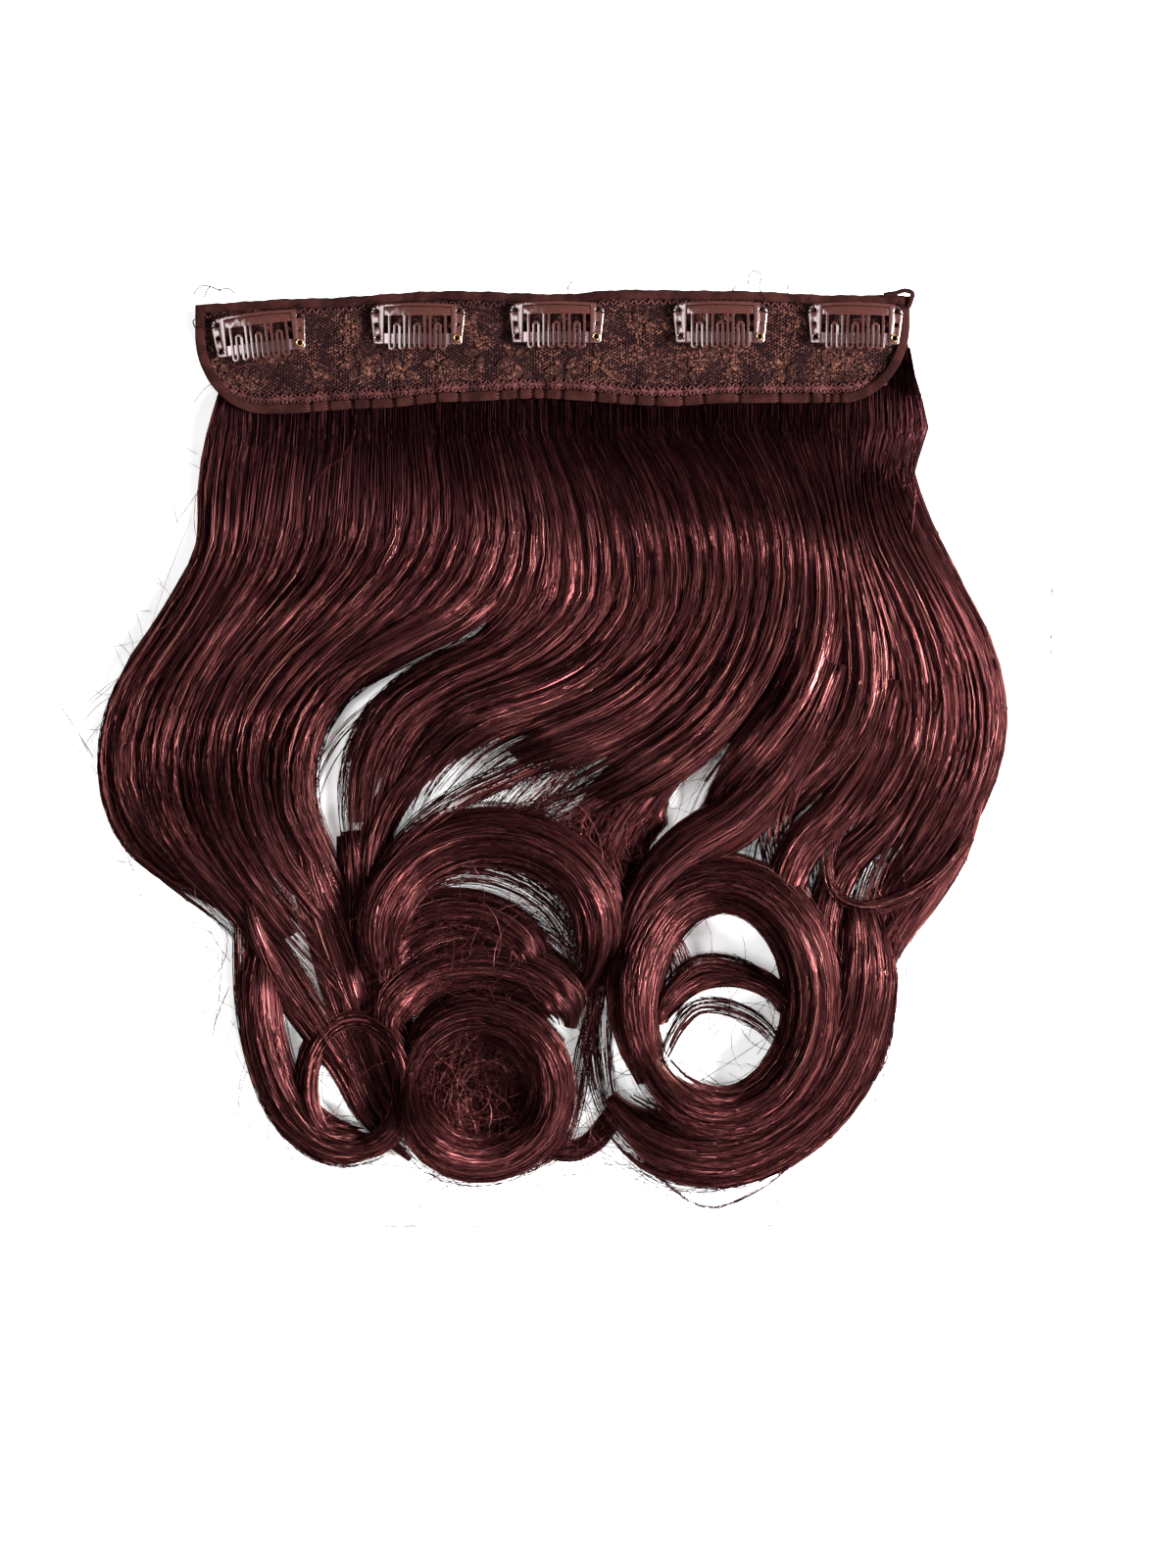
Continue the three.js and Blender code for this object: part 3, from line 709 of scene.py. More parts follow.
def curved(points: Array, count: int) -> Array:
    """Draws a smooth line through points, evenly by the points' numbers.

    Args:
        points: stations by three.
        count: samples between two stations.

    Returns:
        The samples.
    """
    chord = np.linalg.norm(np.diff(points, axis=0), axis=1)[:, None]
    slope = np.diff(points, axis=0) / chord
    inner = (slope[:-1] * chord[1:] + slope[1:] * chord[:-1]) / (chord[1:] + chord[:-1])
    slopes = np.vstack([slope[:1], inner, slope[-1:]])
    share = np.linspace(0, 1, count, endpoint=False)[None, :, None]
    first = points[:-1, None] * (2 * share**3 - 3 * share**2 + 1)
    leave = (slopes[:-1] * chord)[:, None] * (share**3 - 2 * share**2 + share)
    last = points[1:, None] * (3 * share**2 - 2 * share**3)
    reach = (slopes[1:] * chord)[:, None] * (share**3 - share**2)
    return np.vstack([(first + leave + last + reach).reshape(-1, 3), points[-1:]])


def sampled(line: Array, share: Array) -> Array:
    """Reads a table of points at shares of its length, with any shape of shares."""
    rows = np.linspace(0, 1, len(line))
    return np.stack([np.interp(share, rows, line[:, i]) for i in range(line.shape[1])], axis=-1)


def evened(line: Array, count: int) -> Array:
    """Finds the shares of a line's table at which its points are evenly spaced along it."""
    steps = np.concatenate([[0], np.cumsum(np.linalg.norm(np.diff(line, axis=0), axis=1))])
    return np.interp(np.linspace(0, 1, count), steps / steps[-1], np.linspace(0, 1, len(line)))


def sideways(line: Array) -> Array:
    """Gives the level unit vectors to the left of a line's run.

    Args:
        line: its points.

    Returns:
        A vector for each point.
    """
    along = np.gradient(line, axis=0)
    aside = np.stack([-along[:, 1], along[:, 0], np.zeros(len(line))], axis=1)
    return aside / (np.linalg.norm(aside, axis=1, keepdims=True) + 1e-12)


@dataclass
class Flow:
    """A lock of hair: its crest line, its two edges and how far they drop."""

    crest: Array
    first_edge: Array
    second_edge: Array
    drops: Array
    tuck: bool
    number: int
    ridge_depth: float = 0.85 * MM
    ridge_start: float = 0.14
    ridge_ease: float = 0.22
    ridge_waves: Pair = (2.2, 3.7)
    narrow_share: float = 0.6
    sway: float = 0.6
    sway_waves: float = 0.9
    sway_shift: float = 0.37
    edge_overrun: float = 1.2

    def length(self) -> float:
        """Gives the crest's length."""
        return float(np.linalg.norm(np.diff(self.crest, axis=0), axis=1).sum())

    def breadth(self) -> float:
        """Gives the mean distance between the edges."""
        return float(np.linalg.norm(self.first_edge - self.second_edge, axis=1).mean())

    def place(self, share: Array, side: Array, depth: Array) -> Array:
        """Finds points of the lock.

        Args:
            share: how far along it, 0 to 1.
            side: how far across it, -1 to 1.
            depth: how far under its surface, in metres.

        Returns:
            The points.
        """
        crest = sampled(self.crest, share)
        first, second = sampled(self.first_edge, share), sampled(self.second_edge, share)
        edge = np.where((side < 0)[..., None], first, second)
        drops = sampled(self.drops, share)
        drop = np.where(side < 0, drops[..., 0], drops[..., 1])
        points = crest + (edge - crest) * np.abs(side)[..., None]
        points[..., 2] *= 1 - drop * np.minimum(side * side, self.edge_overrun)
        sway = self.sway * np.sin(TURN * (self.sway_waves * share + self.sway_shift * self.number))
        broad = np.sin(TURN * (self.ridge_waves[0] * side + sway))
        narrow = np.sin(TURN * (self.ridge_waves[1] * side - sway + self.number))
        ridges = 1 + (broad + self.narrow_share * narrow)
        eased = smooth((share - self.ridge_start) / self.ridge_ease)
        points[..., 2] -= depth + self.ridge_depth * ridges * eased
        if self.tuck:
            points = tucked(points)
        points[..., 2] = np.maximum(points[..., 2], LOCK_FLOOR)
        return points


# The band's two long edges, in shares of the half band and of the band's height
TOP_LINE = (
    (-1, -0.11), (-0.69, -0.06), (-0.28, 0.01), (0.02, -0.02), (0.2, 0.02), (0.5, 0.01), (0.8, -0.03),
    (1, -0.03),
)
HEM_LINE = (
    (-1, -1.1), (-0.78, -1.12), (-0.5, -1.07), (-0.28, -1.01), (-0.05, -0.98), (0.33, -1.05), (0.5, -1.02),
    (0.8, -1.02), (1, -1),
)
HEM_CLEARANCE = 0.5 * MM
ROOT_SLOPE = 0.55


def line_at(rows: tuple[Pair, ...], x: Array) -> Array:
    """Reads a line of the band at x, eased between the rows of its table.

    Args:
        rows: the table.
        x: places along the band.

    Returns:
        The line's y at each place.
    """
    alongs, rises = (np.array(column, float) for column in zip(*rows))
    share = np.clip(np.asarray(x, float) / HALF_BAND, -1, 1)
    row = np.clip(np.searchsorted(alongs, share, side="left"), 1, len(alongs) - 1)
    eased = smooth((share - alongs[row - 1]) / (alongs[row] - alongs[row - 1]))
    return BAND_TOP + BAND_HEIGHT * (rises[row - 1] + (rises[row] - rises[row - 1]) * eased)


def top_at(x: Array) -> Array:
    """Gives the band's top edge at x."""
    return line_at(TOP_LINE, x)


def hem_at(x: Array) -> Array:
    """Gives the band's bottom edge at x, turned up at its ends."""
    into = np.clip((np.abs(x) - (HALF_BAND - CORNER_WIDTH)) / CORNER_WIDTH, 0, 1)
    return line_at(HEM_LINE, x) + CORNER_HEIGHT * (1 - np.sqrt(1 - into * into))


def tucked(points: Array) -> Array:
    """Keeps hair under the band, and lets it rise from there at a slope.

    Args:
        points: points of a lock.

    Returns:
        The points, none above that slope.
    """
    x, y = points[..., 0], points[..., 1]
    clear = np.maximum(hem_at(x) - HEM_CLEARANCE - y, 0)
    aside = np.maximum(np.abs(x) - HALF_BAND - HEM_CLEARANCE, 0)
    ceiling = TUCKED_HAIR + ROOT_SLOPE * np.maximum(clear, aside)
    return np.concatenate([points[..., :2], np.minimum(points[..., 2], ceiling)[..., None]], axis=-1)


@dataclass(frozen=True)
class Fall:
    """A lock that falls from the band, in shares of the half band, half spread, drop and loft."""

    root: float
    width: float
    across: tuple[float, ...]
    down: tuple[float, ...]
    lift: tuple[float, ...]
    parting: Pair


@dataclass(frozen=True)
class Curl:
    """A lock in an arc or ring, in shares of the half spread, drop and loft, with degrees from the right."""

    across: float
    down: float
    wide: float
    deep: float
    start: float
    sweep: float
    width: float
    crest: float
    coil: float = 0.0
    swell: float = 0.24
    phase: float = 0.6


FALLS = (
    Fall(-0.89, 0.055, (-0.715, -0.725, -0.81, -0.91, -0.94, -0.89, -0.78, -0.68, -0.64),
         (0.2, 0.28, 0.36, 0.43, 0.52, 0.59, 0.645, 0.69, 0.75),
         (0.4, 0.48, 0.42, 0.34, 0.4, 0.36, 0.3, 0.3, 0.28), (1, 0.2)),
    Fall(-0.76, 0.075, (-0.61, -0.64, -0.74, -0.83, -0.865, -0.82, -0.73, -0.65, -0.56, -0.47, -0.39),
         (0.2, 0.29, 0.37, 0.44, 0.52, 0.59, 0.645, 0.69, 0.76, 0.83, 0.895),
         (0.44, 0.51, 0.58, 0.4, 0.4, 0.5, 0.48, 0.4, 0.44, 0.42, 0.3), (0.3, 0.3)),
    Fall(-0.59, 0.085, (-0.47, -0.49, -0.6, -0.71, -0.765, -0.73, -0.66, -0.58, -0.5, -0.43),
         (0.2, 0.285, 0.355, 0.42, 0.5, 0.58, 0.64, 0.695, 0.735, 0.78),
         (0.44, 0.52, 0.6, 0.4, 0.38, 0.5, 0.54, 0.44, 0.46, 0.4), (0.3, 0.4)),
    Fall(-0.41, 0.085, (-0.31, -0.32, -0.43, -0.56, -0.66, -0.66, -0.6, -0.52, -0.44),
         (0.2, 0.275, 0.345, 0.4, 0.47, 0.55, 0.62, 0.67, 0.73),
         (0.44, 0.53, 0.6, 0.44, 0.36, 0.46, 0.54, 0.46, 0.36), (0.4, 0.5)),
    Fall(-0.22, 0.075, (-0.15, -0.14, -0.21, -0.36, -0.49, -0.56, -0.56, -0.5, -0.43),
         (0.2, 0.27, 0.335, 0.38, 0.425, 0.49, 0.56, 0.62, 0.69),
         (0.44, 0.54, 0.6, 0.5, 0.4, 0.46, 0.54, 0.46, 0.36), (0.5, 1)),
    Fall(-0.05, 0.08, (0, 0.03, 0.02, -0.1, -0.24, -0.35, -0.41, -0.42, -0.41),
         (0.2, 0.265, 0.335, 0.39, 0.42, 0.46, 0.52, 0.59, 0.67),
         (0.4, 0.46, 0.53, 0.55, 0.6, 0.64, 0.5, 0.42, 0.36), (1, 0.5)),
    Fall(0.12, 0.085, (0.15, 0.19, 0.19, 0.1, -0.03, -0.16, -0.27, -0.33, -0.35),
         (0.2, 0.265, 0.34, 0.4, 0.435, 0.455, 0.495, 0.55, 0.62),
         (0.44, 0.53, 0.45, 0.45, 0.62, 0.72, 0.52, 0.38, 0.34), (0.6, 0.5)),
    Fall(0.3, 0.085, (0.3, 0.34, 0.34, 0.27, 0.15, 0.01, -0.12, -0.22),
         (0.2, 0.265, 0.34, 0.405, 0.455, 0.485, 0.51, 0.555),
         (0.45, 0.56, 0.45, 0.46, 0.65, 0.72, 0.42, 0.34), (0.6, 0.6)),
    Fall(0.49, 0.08, (0.44, 0.48, 0.47, 0.4, 0.28, 0.15, 0.04, -0.03),
         (0.2, 0.27, 0.35, 0.43, 0.49, 0.53, 0.56, 0.6),
         (0.45, 0.56, 0.47, 0.5, 0.67, 0.6, 0.36, 0.3), (0.6, 0.8)),
    Fall(0.65, 0.075, (0.55, 0.59, 0.59, 0.54, 0.45, 0.37, 0.33),
         (0.2, 0.28, 0.37, 0.44, 0.5, 0.55, 0.615),
         (0.43, 0.54, 0.48, 0.56, 0.6, 0.4, 0.26), (0.7, 0.9)),
    Fall(0.77, 0.07, (0.62, 0.65, 0.69, 0.69, 0.63, 0.54, 0.47, 0.45),
         (0.2, 0.28, 0.37, 0.44, 0.5, 0.545, 0.59, 0.64),
         (0.43, 0.54, 0.47, 0.52, 0.5, 0.42, 0.32, 0.26), (0.8, 0.7)),
    Fall(0.86, 0.065, (0.66, 0.68, 0.75, 0.79, 0.78, 0.72, 0.65, 0.63),
         (0.19, 0.26, 0.345, 0.42, 0.49, 0.55, 0.6, 0.66),
         (0.42, 0.5, 0.44, 0.42, 0.52, 0.48, 0.36, 0.3), (0.7, 0.5)),
    Fall(0.94, 0.058, (0.71, 0.73, 0.82, 0.88, 0.88, 0.82, 0.75, 0.67),
         (0.18, 0.25, 0.34, 0.42, 0.5, 0.57, 0.625, 0.665),
         (0.38, 0.46, 0.5, 0.42, 0.46, 0.52, 0.44, 0.34), (0.3, 0.05)),
    Fall(0.985, 0.048, (0.74, 0.77, 0.85, 0.93, 0.95, 0.92, 0.86, 0.78, 0.73, 0.71),
         (0.19, 0.24, 0.32, 0.4, 0.465, 0.53, 0.59, 0.645, 0.68, 0.73),
         (0.34, 0.38, 0.44, 0.4, 0.4, 0.44, 0.42, 0.4, 0.36, 0.3), (0.05, 0.2)),
)

CURLS = (
    Curl(-0.44, 0.75, 0.2, 0.172, 160, 130, 0.05, 0.45),
    Curl(-0.43, 0.857, 0.108, 0.07, 240, 380, 0.026, 0.5, 0.05),
    Curl(-0.135, 0.698, 0.245, 0.108, 200, -240, 0.065, 0.8, 0.1),
    Curl(-0.205, 0.74, 0.165, 0.066, 195, -205, 0.058, 0.5),
    Curl(-0.16, 0.79, 0.2, 0.062, 190, -200, 0.066, 0.56),
    Curl(-0.16, 0.862, 0.155, 0.077, 175, -375, 0.055, 0.78, 0.15),
    Curl(-0.16, 0.862, 0.078, 0.039, 290, -420, 0.085, 0.25),
    Curl(-0.16, 0.862, 0.03, 0.015, 0, 300, 0.05, 0.2),
    Curl(0.37, 0.765, 0.195, 0.127, 225, -400, 0.062, 0.94, 0.08),
    Curl(0.38, 0.8, 0.15, 0.062, 175, -170, 0.024, 0.62),
    Curl(0.35, 0.72, 0.325, 0.21, 18, -155, 0.08, 0.55),
    Curl(0.03, 0.862, 0.11, 0.07, 250, 105, 0.02, 0.25),
    Curl(0.3, 0.64, 0.19, 0.12, 110, 110, 0.085, 0.35),
)


@dataclass(frozen=True)
class Wisp:
    """Loose strands along a route, in shares of the half spread, drop and loft."""

    across: tuple[float, ...]
    down: tuple[float, ...]
    height: Pair
    width: float
    count: int
    stray: float = 1.0
    solid: bool = False


@dataclass(frozen=True)
class Tangle:
    """Crossing stray strands in a round bed, in the same shares, with bends of a length in metres."""

    across: float
    down: float
    wide: float
    deep: float
    height: Pair
    count: int
    bend: Pair


WISPS = (
    Wisp((-0.78, -0.88, -0.96, -0.985, -0.97, -0.93, -0.86, -0.78, -0.71, -0.65),
         (0.3, 0.375, 0.44, 0.5, 0.56, 0.6, 0.63, 0.652, 0.668, 0.7), (0.3, 0.2), 0.012, 46),
    Wisp((-0.68, -0.64, -0.58, -0.52, -0.46, -0.41, -0.36, -0.3),
         (0.62, 0.7, 0.76, 0.8, 0.84, 0.89, 0.92, 0.945), (0.5, 0.2), 0.03, 80, 1.0, True),
    Wisp((-0.68, -0.68, -0.67, -0.645, -0.61, -0.55, -0.47, -0.38, -0.3),
         (0.64, 0.7, 0.77, 0.83, 0.88, 0.918, 0.937, 0.93, 0.9), (0.34, 0.3), 0.03, 70),
    Wisp((-0.56, -0.52, -0.48, -0.44, -0.4, -0.35, -0.28),
         (0.56, 0.64, 0.7, 0.76, 0.82, 0.88, 0.93), (0.5, 0.2), 0.06, 120, 1.6, True),
    Wisp((-0.44, -0.42, -0.4, -0.36, -0.31, -0.24),
         (0.58, 0.66, 0.73, 0.79, 0.83, 0.87), (0.42, 0.3), 0.05, 100, 1.6, True),
    Wisp((-0.4, -0.37, -0.3, -0.2, -0.09, 0, 0.05, 0.05),
         (0.76, 0.69, 0.645, 0.625, 0.635, 0.665, 0.71, 0.77), (0.4, 0.5), 0.03, 70, 1.5),
    Wisp((-0.36, -0.28, -0.16, -0.04, 0.04, 0.06),
         (0.74, 0.7, 0.685, 0.7, 0.74, 0.8), (0.35, 0.4), 0.05, 90, 2.2),
    Wisp((0.1, 0.1, 0.07, 0.05, 0.02, -0.05, -0.14),
         (0.68, 0.76, 0.82, 0.88, 0.925, 0.95, 0.958), (0.4, 0.1), 0.02, 46),
    Wisp((0.13, 0.1, 0.1, 0.1, 0.12, 0.18),
         (0.6, 0.68, 0.76, 0.83, 0.88, 0.93), (0.45, 0.2), 0.035, 80, 1.5),
    Wisp((0.13, 0.2, 0.25, 0.28, 0.27, 0.235),
         (0.7, 0.69, 0.7, 0.73, 0.765, 0.79), (0.5, 0.4), 0.028, 60, 1.6),
    Wisp((0.22, 0.26, 0.32, 0.4, 0.48, 0.54),
         (0.79, 0.75, 0.726, 0.73, 0.758, 0.81), (0.55, 0.6), 0.022, 84, 1.4),
    Wisp((0.24, 0.28, 0.31, 0.38, 0.45, 0.52),
         (0.83, 0.79, 0.775, 0.774, 0.79, 0.83), (0.5, 0.6), 0.018, 56, 1.6),
    Wisp((0.92, 0.84, 0.76, 0.68, 0.62, 0.6, 0.61),
         (0.585, 0.63, 0.656, 0.665, 0.653, 0.62, 0.59), (0.4, 0.6), 0.02, 60, 1.4),
    Wisp((0.9, 0.9, 0.86, 0.79, 0.73, 0.7, 0.7),
         (0.47, 0.53, 0.59, 0.645, 0.69, 0.74, 0.8), (0.36, 0.3), 0.06, 90, 1.2, True),
    Wisp((0.18, 0.2, 0.25, 0.3, 0.35, 0.42, 0.5, 0.57, 0.61),
         (0.9, 0.94, 0.965, 0.985, 0.992, 0.98, 0.955, 0.91, 0.87), (0.2, 0.3), 0.004, 7),
    Wisp((-0.14, -0.02, 0.05, 0.1, 0.14, 0.16),
         (0.952, 0.935, 0.937, 0.925, 0.9, 0.87), (0.2, 0.3), 0.011, 34),
    Wisp((0.44, 0.42, 0.39, 0.35, 0.3, 0.24),
         (0.46, 0.51, 0.55, 0.59, 0.62, 0.64), (0.46, 0.4), 0.05, 90, 1.5, True),
    Wisp((0.3, 0.22, 0.14, 0.1, 0.1, 0.13),
         (0.48, 0.53, 0.58, 0.64, 0.7, 0.76), (0.5, 0.3), 0.06, 100, 2.0, True),
    Wisp((0.1, -0.02, -0.1, -0.13, -0.1), (0.47, 0.53, 0.57, 0.6, 0.64), (0.4, 0.4), 0.06, 80, 2.0),
    Wisp((0.58, 0.52, 0.49, 0.51, 0.57, 0.63, 0.66),
         (0.47, 0.53, 0.58, 0.63, 0.68, 0.74, 0.8), (0.5, 0.3), 0.04, 90, 1.4),
    Wisp((0.72, 0.66, 0.61, 0.6, 0.64, 0.68, 0.66),
         (0.48, 0.54, 0.59, 0.64, 0.7, 0.77, 0.84), (0.44, 0.3), 0.035, 80, 1.4),
    Wisp((0.8, 0.74, 0.7, 0.68, 0.7, 0.72, 0.7, 0.62),
         (0.54, 0.59, 0.63, 0.67, 0.72, 0.78, 0.84, 0.89), (0.4, 0.3), 0.03, 80, 1.4),
    Wisp((-0.3, -0.42, -0.5, -0.53, -0.5), (0.42, 0.46, 0.51, 0.57, 0.62), (0.4, 0.3), 0.02, 14, 2.0),
    Wisp((0.62, 0.56, 0.48, 0.4, 0.3, 0.2, 0.15),
         (0.4, 0.47, 0.53, 0.57, 0.6, 0.65, 0.72), (0.52, 0.8), 0.055, 90, 1.3, True),
    Wisp((0.75, 0.7, 0.62, 0.54, 0.5, 0.53, 0.56),
         (0.42, 0.5, 0.56, 0.6, 0.65, 0.71, 0.77), (0.5, 0.8), 0.045, 80, 1.3, True),
    Wisp((0.84, 0.8, 0.72, 0.64, 0.6, 0.6, 0.59),
         (0.44, 0.52, 0.58, 0.62, 0.67, 0.74, 0.8), (0.45, 0.5), 0.04, 80, 1.3, True),
    Wisp((-0.08, -0.22, -0.32, -0.38, -0.4, -0.38),
         (0.46, 0.49, 0.53, 0.58, 0.64, 0.7), (0.45, 0.45), 0.03, 80, 1.3, True),
    Wisp((0.07, -0.08, -0.2, -0.3, -0.37, -0.39),
         (0.49, 0.52, 0.548, 0.585, 0.63, 0.69), (0.46, 0.6), 0.03, 70, 1.4),
    Wisp((0.24, 0.12, 0, -0.12, -0.24, -0.33),
         (0.5, 0.54, 0.565, 0.58, 0.6, 0.64), (0.42, 0.6), 0.04, 80, 1.4),
    Wisp((-0.33, -0.25, -0.15, -0.05, 0.03),
         (0.81, 0.79, 0.783, 0.79, 0.815), (0.3, 0.3), 0.035, 50, 1.4, True),
    Wisp((-0.43, -0.435, -0.46, -0.5, -0.525, -0.535),
         (0.13, 0.16, 0.18, 0.195, 0.215, 0.235), (0.5, 0.55), 0.002, 3, 0.4),
)

TANGLES = (
    Tangle(-0.16, 0.862, 0.11, 0.055, (0.3, 0.62), 150, (0.006, 0.018)),
    Tangle(-0.2, 0.725, 0.16, 0.06, (0.3, 0.66), 80, (0.01, 0.03)),
    Tangle(-0.44, 0.85, 0.1, 0.065, (0.1, 0.4), 14, (0.01, 0.025)),
    Tangle(0.37, 0.8, 0.17, 0.08, (0.05, 0.5), 26, (0.012, 0.03)),
    Tangle(0.12, 0.62, 0.12, 0.07, (0.3, 0.6), 80, (0.01, 0.03)),
    Tangle(-0.14, 0.92, 0.22, 0.02, (0.05, 0.3), 24, (0.01, 0.02)),
    Tangle(0.05, 0.87, 0.06, 0.06, (0.05, 0.4), 24, (0.01, 0.03)),
)

# Where single hairs leave the outline, in shares of the half spread and the drop
OUTLINE = (
    (-0.735, 0.16), (-0.75, 0.28), (-0.88, 0.4), (-0.98, 0.5), (-0.93, 0.6), (-0.75, 0.66), (-0.68, 0.75),
    (-0.65, 0.85), (-0.55, 0.92), (-0.3, 0.95), (-0.1, 0.955), (0.1, 0.925), (0.3, 0.95), (0.5, 0.93),
    (0.66, 0.86), (0.76, 0.72), (0.83, 0.64), (0.95, 0.53), (0.99, 0.45), (0.88, 0.33), (0.78, 0.21),
    (0.81, 0.1),
)


@dataclass
class HairMass:
    """Every lock of the piece, combed into cores, tresses and strands."""

    samples: int = 24
    fall_stations: int = 200
    curl_stations: int = 160
    wisp_stations: int = 120
    root_steps: tuple[Pair, ...] = ((0.45, 0), (1.0, 0), (1.24, 3.8))
    middle_lift: float = 0.46
    swell: float = 1.65
    least_lift: float = 0.16
    shared_edge: float = 0.54
    tip_start: float = 0.75
    tip_loss: float = 0.45
    parting_start: float = 0.36
    parting_ease: float = 0.22
    parting_loss: float = 0.24
    root_slim: float = 0.25
    root_ease: float = 0.14
    curl_end_ease: float = 0.18
    curl_end_height: float = 0.72
    curl_end_width: float = 0.6
    curl_drop: float = 0.42
    wisp_end_width: float = 0.55
    wisp_swell: float = 0.45
    wisp_drop: float = 0.3
    first_curl: int = 40
    first_wisp: int = 60
    number_step: float = 7.3
    # Flow length added to curls and loose strands so that the painted root shade stays off them.
    past_roots: float = 200.0
    lowest: float = 0.53
    widest: float = 1.09
    core_depth: float = 1.5 * MM
    core_start: float = 0.01
    core_reach: Pair = (0.86, 0.97)
    core_breadth: float = 0.93
    tress_width: float = 2.4 * MM
    tress_rise: float = 0.32 * MM
    strand_radius: float = 0.14 * MM
    strand_wander: float = 0.35 * MM
    fall_density: float = 12.3
    curl_density: float = 9.4
    flyaway_count: int = 280
    tones: tuple[float, ...] = (0.3, 0.36, 0.24, 0.1)
    seed: int = 11
    tress_tube: Tube = field(default_factory=lambda: Tube(8, 24))
    core_tube: Tube = field(default_factory=lambda: Tube(14, 44))
    fall_tube: Tube = field(default_factory=lambda: Tube(3, 16))
    curl_tube: Tube = field(default_factory=lambda: Tube(3, 24))
    wisp_tube: Tube = field(default_factory=lambda: Tube(3, 15))
    stray_tube: Tube = field(default_factory=lambda: Tube(3, 9))

    def __post_init__(self) -> None:
        """Works out the flows."""
        self.random = np.random.default_rng(self.seed)
        self.falls = self.falling()
        self.curls = [self.curled(i, row) for i, row in enumerate(CURLS)]
        self.wisps = [self.loose(i, row) for i, row in enumerate(WISPS)]
        self.filled = [flow for flow, row in zip(self.wisps, WISPS) if row.solid]

    def fall_line(self, row: Fall) -> Array:
        """Draws a fall's crest line, evenly by its stations.

        Args:
            row: the fall.

        Returns:
            The line's points.
        """
        root = row.root * HALF_BAND
        starts = [
            np.array([root, BAND_TOP - drop * BAND_HEIGHT, TUCKED_HAIR + rise * MM])
            for drop, rise in self.root_steps
        ]
        middle = self.middle_lift
        lifts = [max(middle + self.swell * (lift - middle), self.least_lift) for lift in row.lift]
        later = [on_hair(*station) for station in zip(row.across, row.down, lifts)]
        return curved(np.array(starts + later), self.samples)

    def falling(self) -> list[Flow]:
        """Joins each fall to its neighbours near the band and frees it towards its tip.

        Returns:
            The flow of each fall.
        """
        lines = [self.fall_line(row) for row in FALLS]
        flows = []
        for i, line in enumerate(lines):
            even = evened(line, self.fall_stations)
            crest = sampled(line, even)
            left, right = (self.fall_side(i, turn, crest, even, lines) for turn in (-1, 1))
            flows.append(Flow(crest, left[0], right[0], np.stack([left[1], right[1]], axis=1), True, i))
        return flows

    def fall_side(
        self, i: int, turn: int, crest: Array, even: Array, lines: list[Array]
    ) -> tuple[Array, Array]:
        """Draws one edge of a fall.

        Args:
            i: the fall's number.
            turn: -1 for its left edge, 1 for its right one.
            crest: its crest, evenly spaced.
            even: the shares of its own line that the crest is read at.
            lines: the lines of all falls.

        Returns:
            The edge, and how far the lock drops towards it.
        """
        row, other = FALLS[i], i + turn
        outer = not 0 <= other < len(lines)
        share = np.linspace(0, 1, len(crest))
        aside = sideways(crest) * HALF_SPREAD * row.width
        tip = smooth((share - self.tip_start) / (1 - self.tip_start))
        narrow = (1 - self.tip_loss * tip)[:, None]
        parted = row.parting[(turn + 1) // 2] * smooth((share - self.parting_start) / self.parting_ease)
        slim = self.root_slim + (1 - self.root_slim) * smooth(share / self.root_ease) if outer else 1.0
        free = crest + turn * aside * narrow * (slim * (1 - self.parting_loss * parted))[:, None]
        if outer:
            return free, 0.15 + 0.6 * smooth((share - 0.15) / 0.2)
        spots = np.minimum(np.rint(even * (len(lines[i]) - 1)).astype(int), len(lines[other]) - 1)
        joined = crest + (lines[other][spots] - crest) * self.shared_edge
        freed = parted[:, None]
        return joined * (1 - freed) + free * freed, 0.05 + 0.4 * parted

    def curled(self, number: int, row: Curl) -> Flow:
        """Draws a curl's flow, its ends narrowed and lowered.

        Args:
            number: its place in the table.
            row: the curl.

        Returns:
            Its flow.
        """
        share = np.linspace(0, 1, self.curl_stations)
        angle = np.radians(row.start + row.sweep * share)
        middle = on_hair(row.across, row.down, 0)
        shrink = 1 - 0.25 * row.coil * smooth((share - 0.5) * 2)
        ends = smooth(np.minimum(share, 1 - share) / self.curl_end_ease)
        height = self.curl_end_height + (1 - self.curl_end_height) * ends
        crest = np.stack(
            [
                middle[0] + HALF_SPREAD * row.wide * shrink * np.cos(angle),
                middle[1] + DROP * row.deep * shrink * np.sin(angle),
                LOFT * row.crest * height * (1 + row.swell * np.sin(2 * angle + row.phase)),
            ],
            axis=1,
        )
        width = self.curl_end_width + (1 - self.curl_end_width) * ends
        aside = sideways(crest) * (HALF_SPREAD * row.width * width)[:, None]
        drops = np.full((len(share), 2), self.curl_drop)
        return Flow(crest, crest - aside, crest + aside, drops, False, self.first_curl + number)

    def loose(self, number: int, row: Wisp) -> Flow:
        """Draws a wisp's flow along its route.

        Args:
            number: its place in the table.
            row: the wisp.

        Returns:
            Its flow.
        """
        heights = np.linspace(*row.height, len(row.across))
        stations = [on_hair(*station) for station in zip(row.across, row.down, heights)]
        line = curved(np.array(stations), self.samples)
        crest = sampled(line, evened(line, self.wisp_stations))
        share = np.linspace(0, 1, self.wisp_stations)
        width = self.wisp_end_width + self.wisp_swell * np.sin(math.pi * share)
        aside = sideways(crest) * (HALF_SPREAD * row.width * width)[:, None]
        drops = np.full((len(share), 2), self.wisp_drop)
        return Flow(crest, crest - aside, crest + aside, drops, False, self.first_wisp + number)

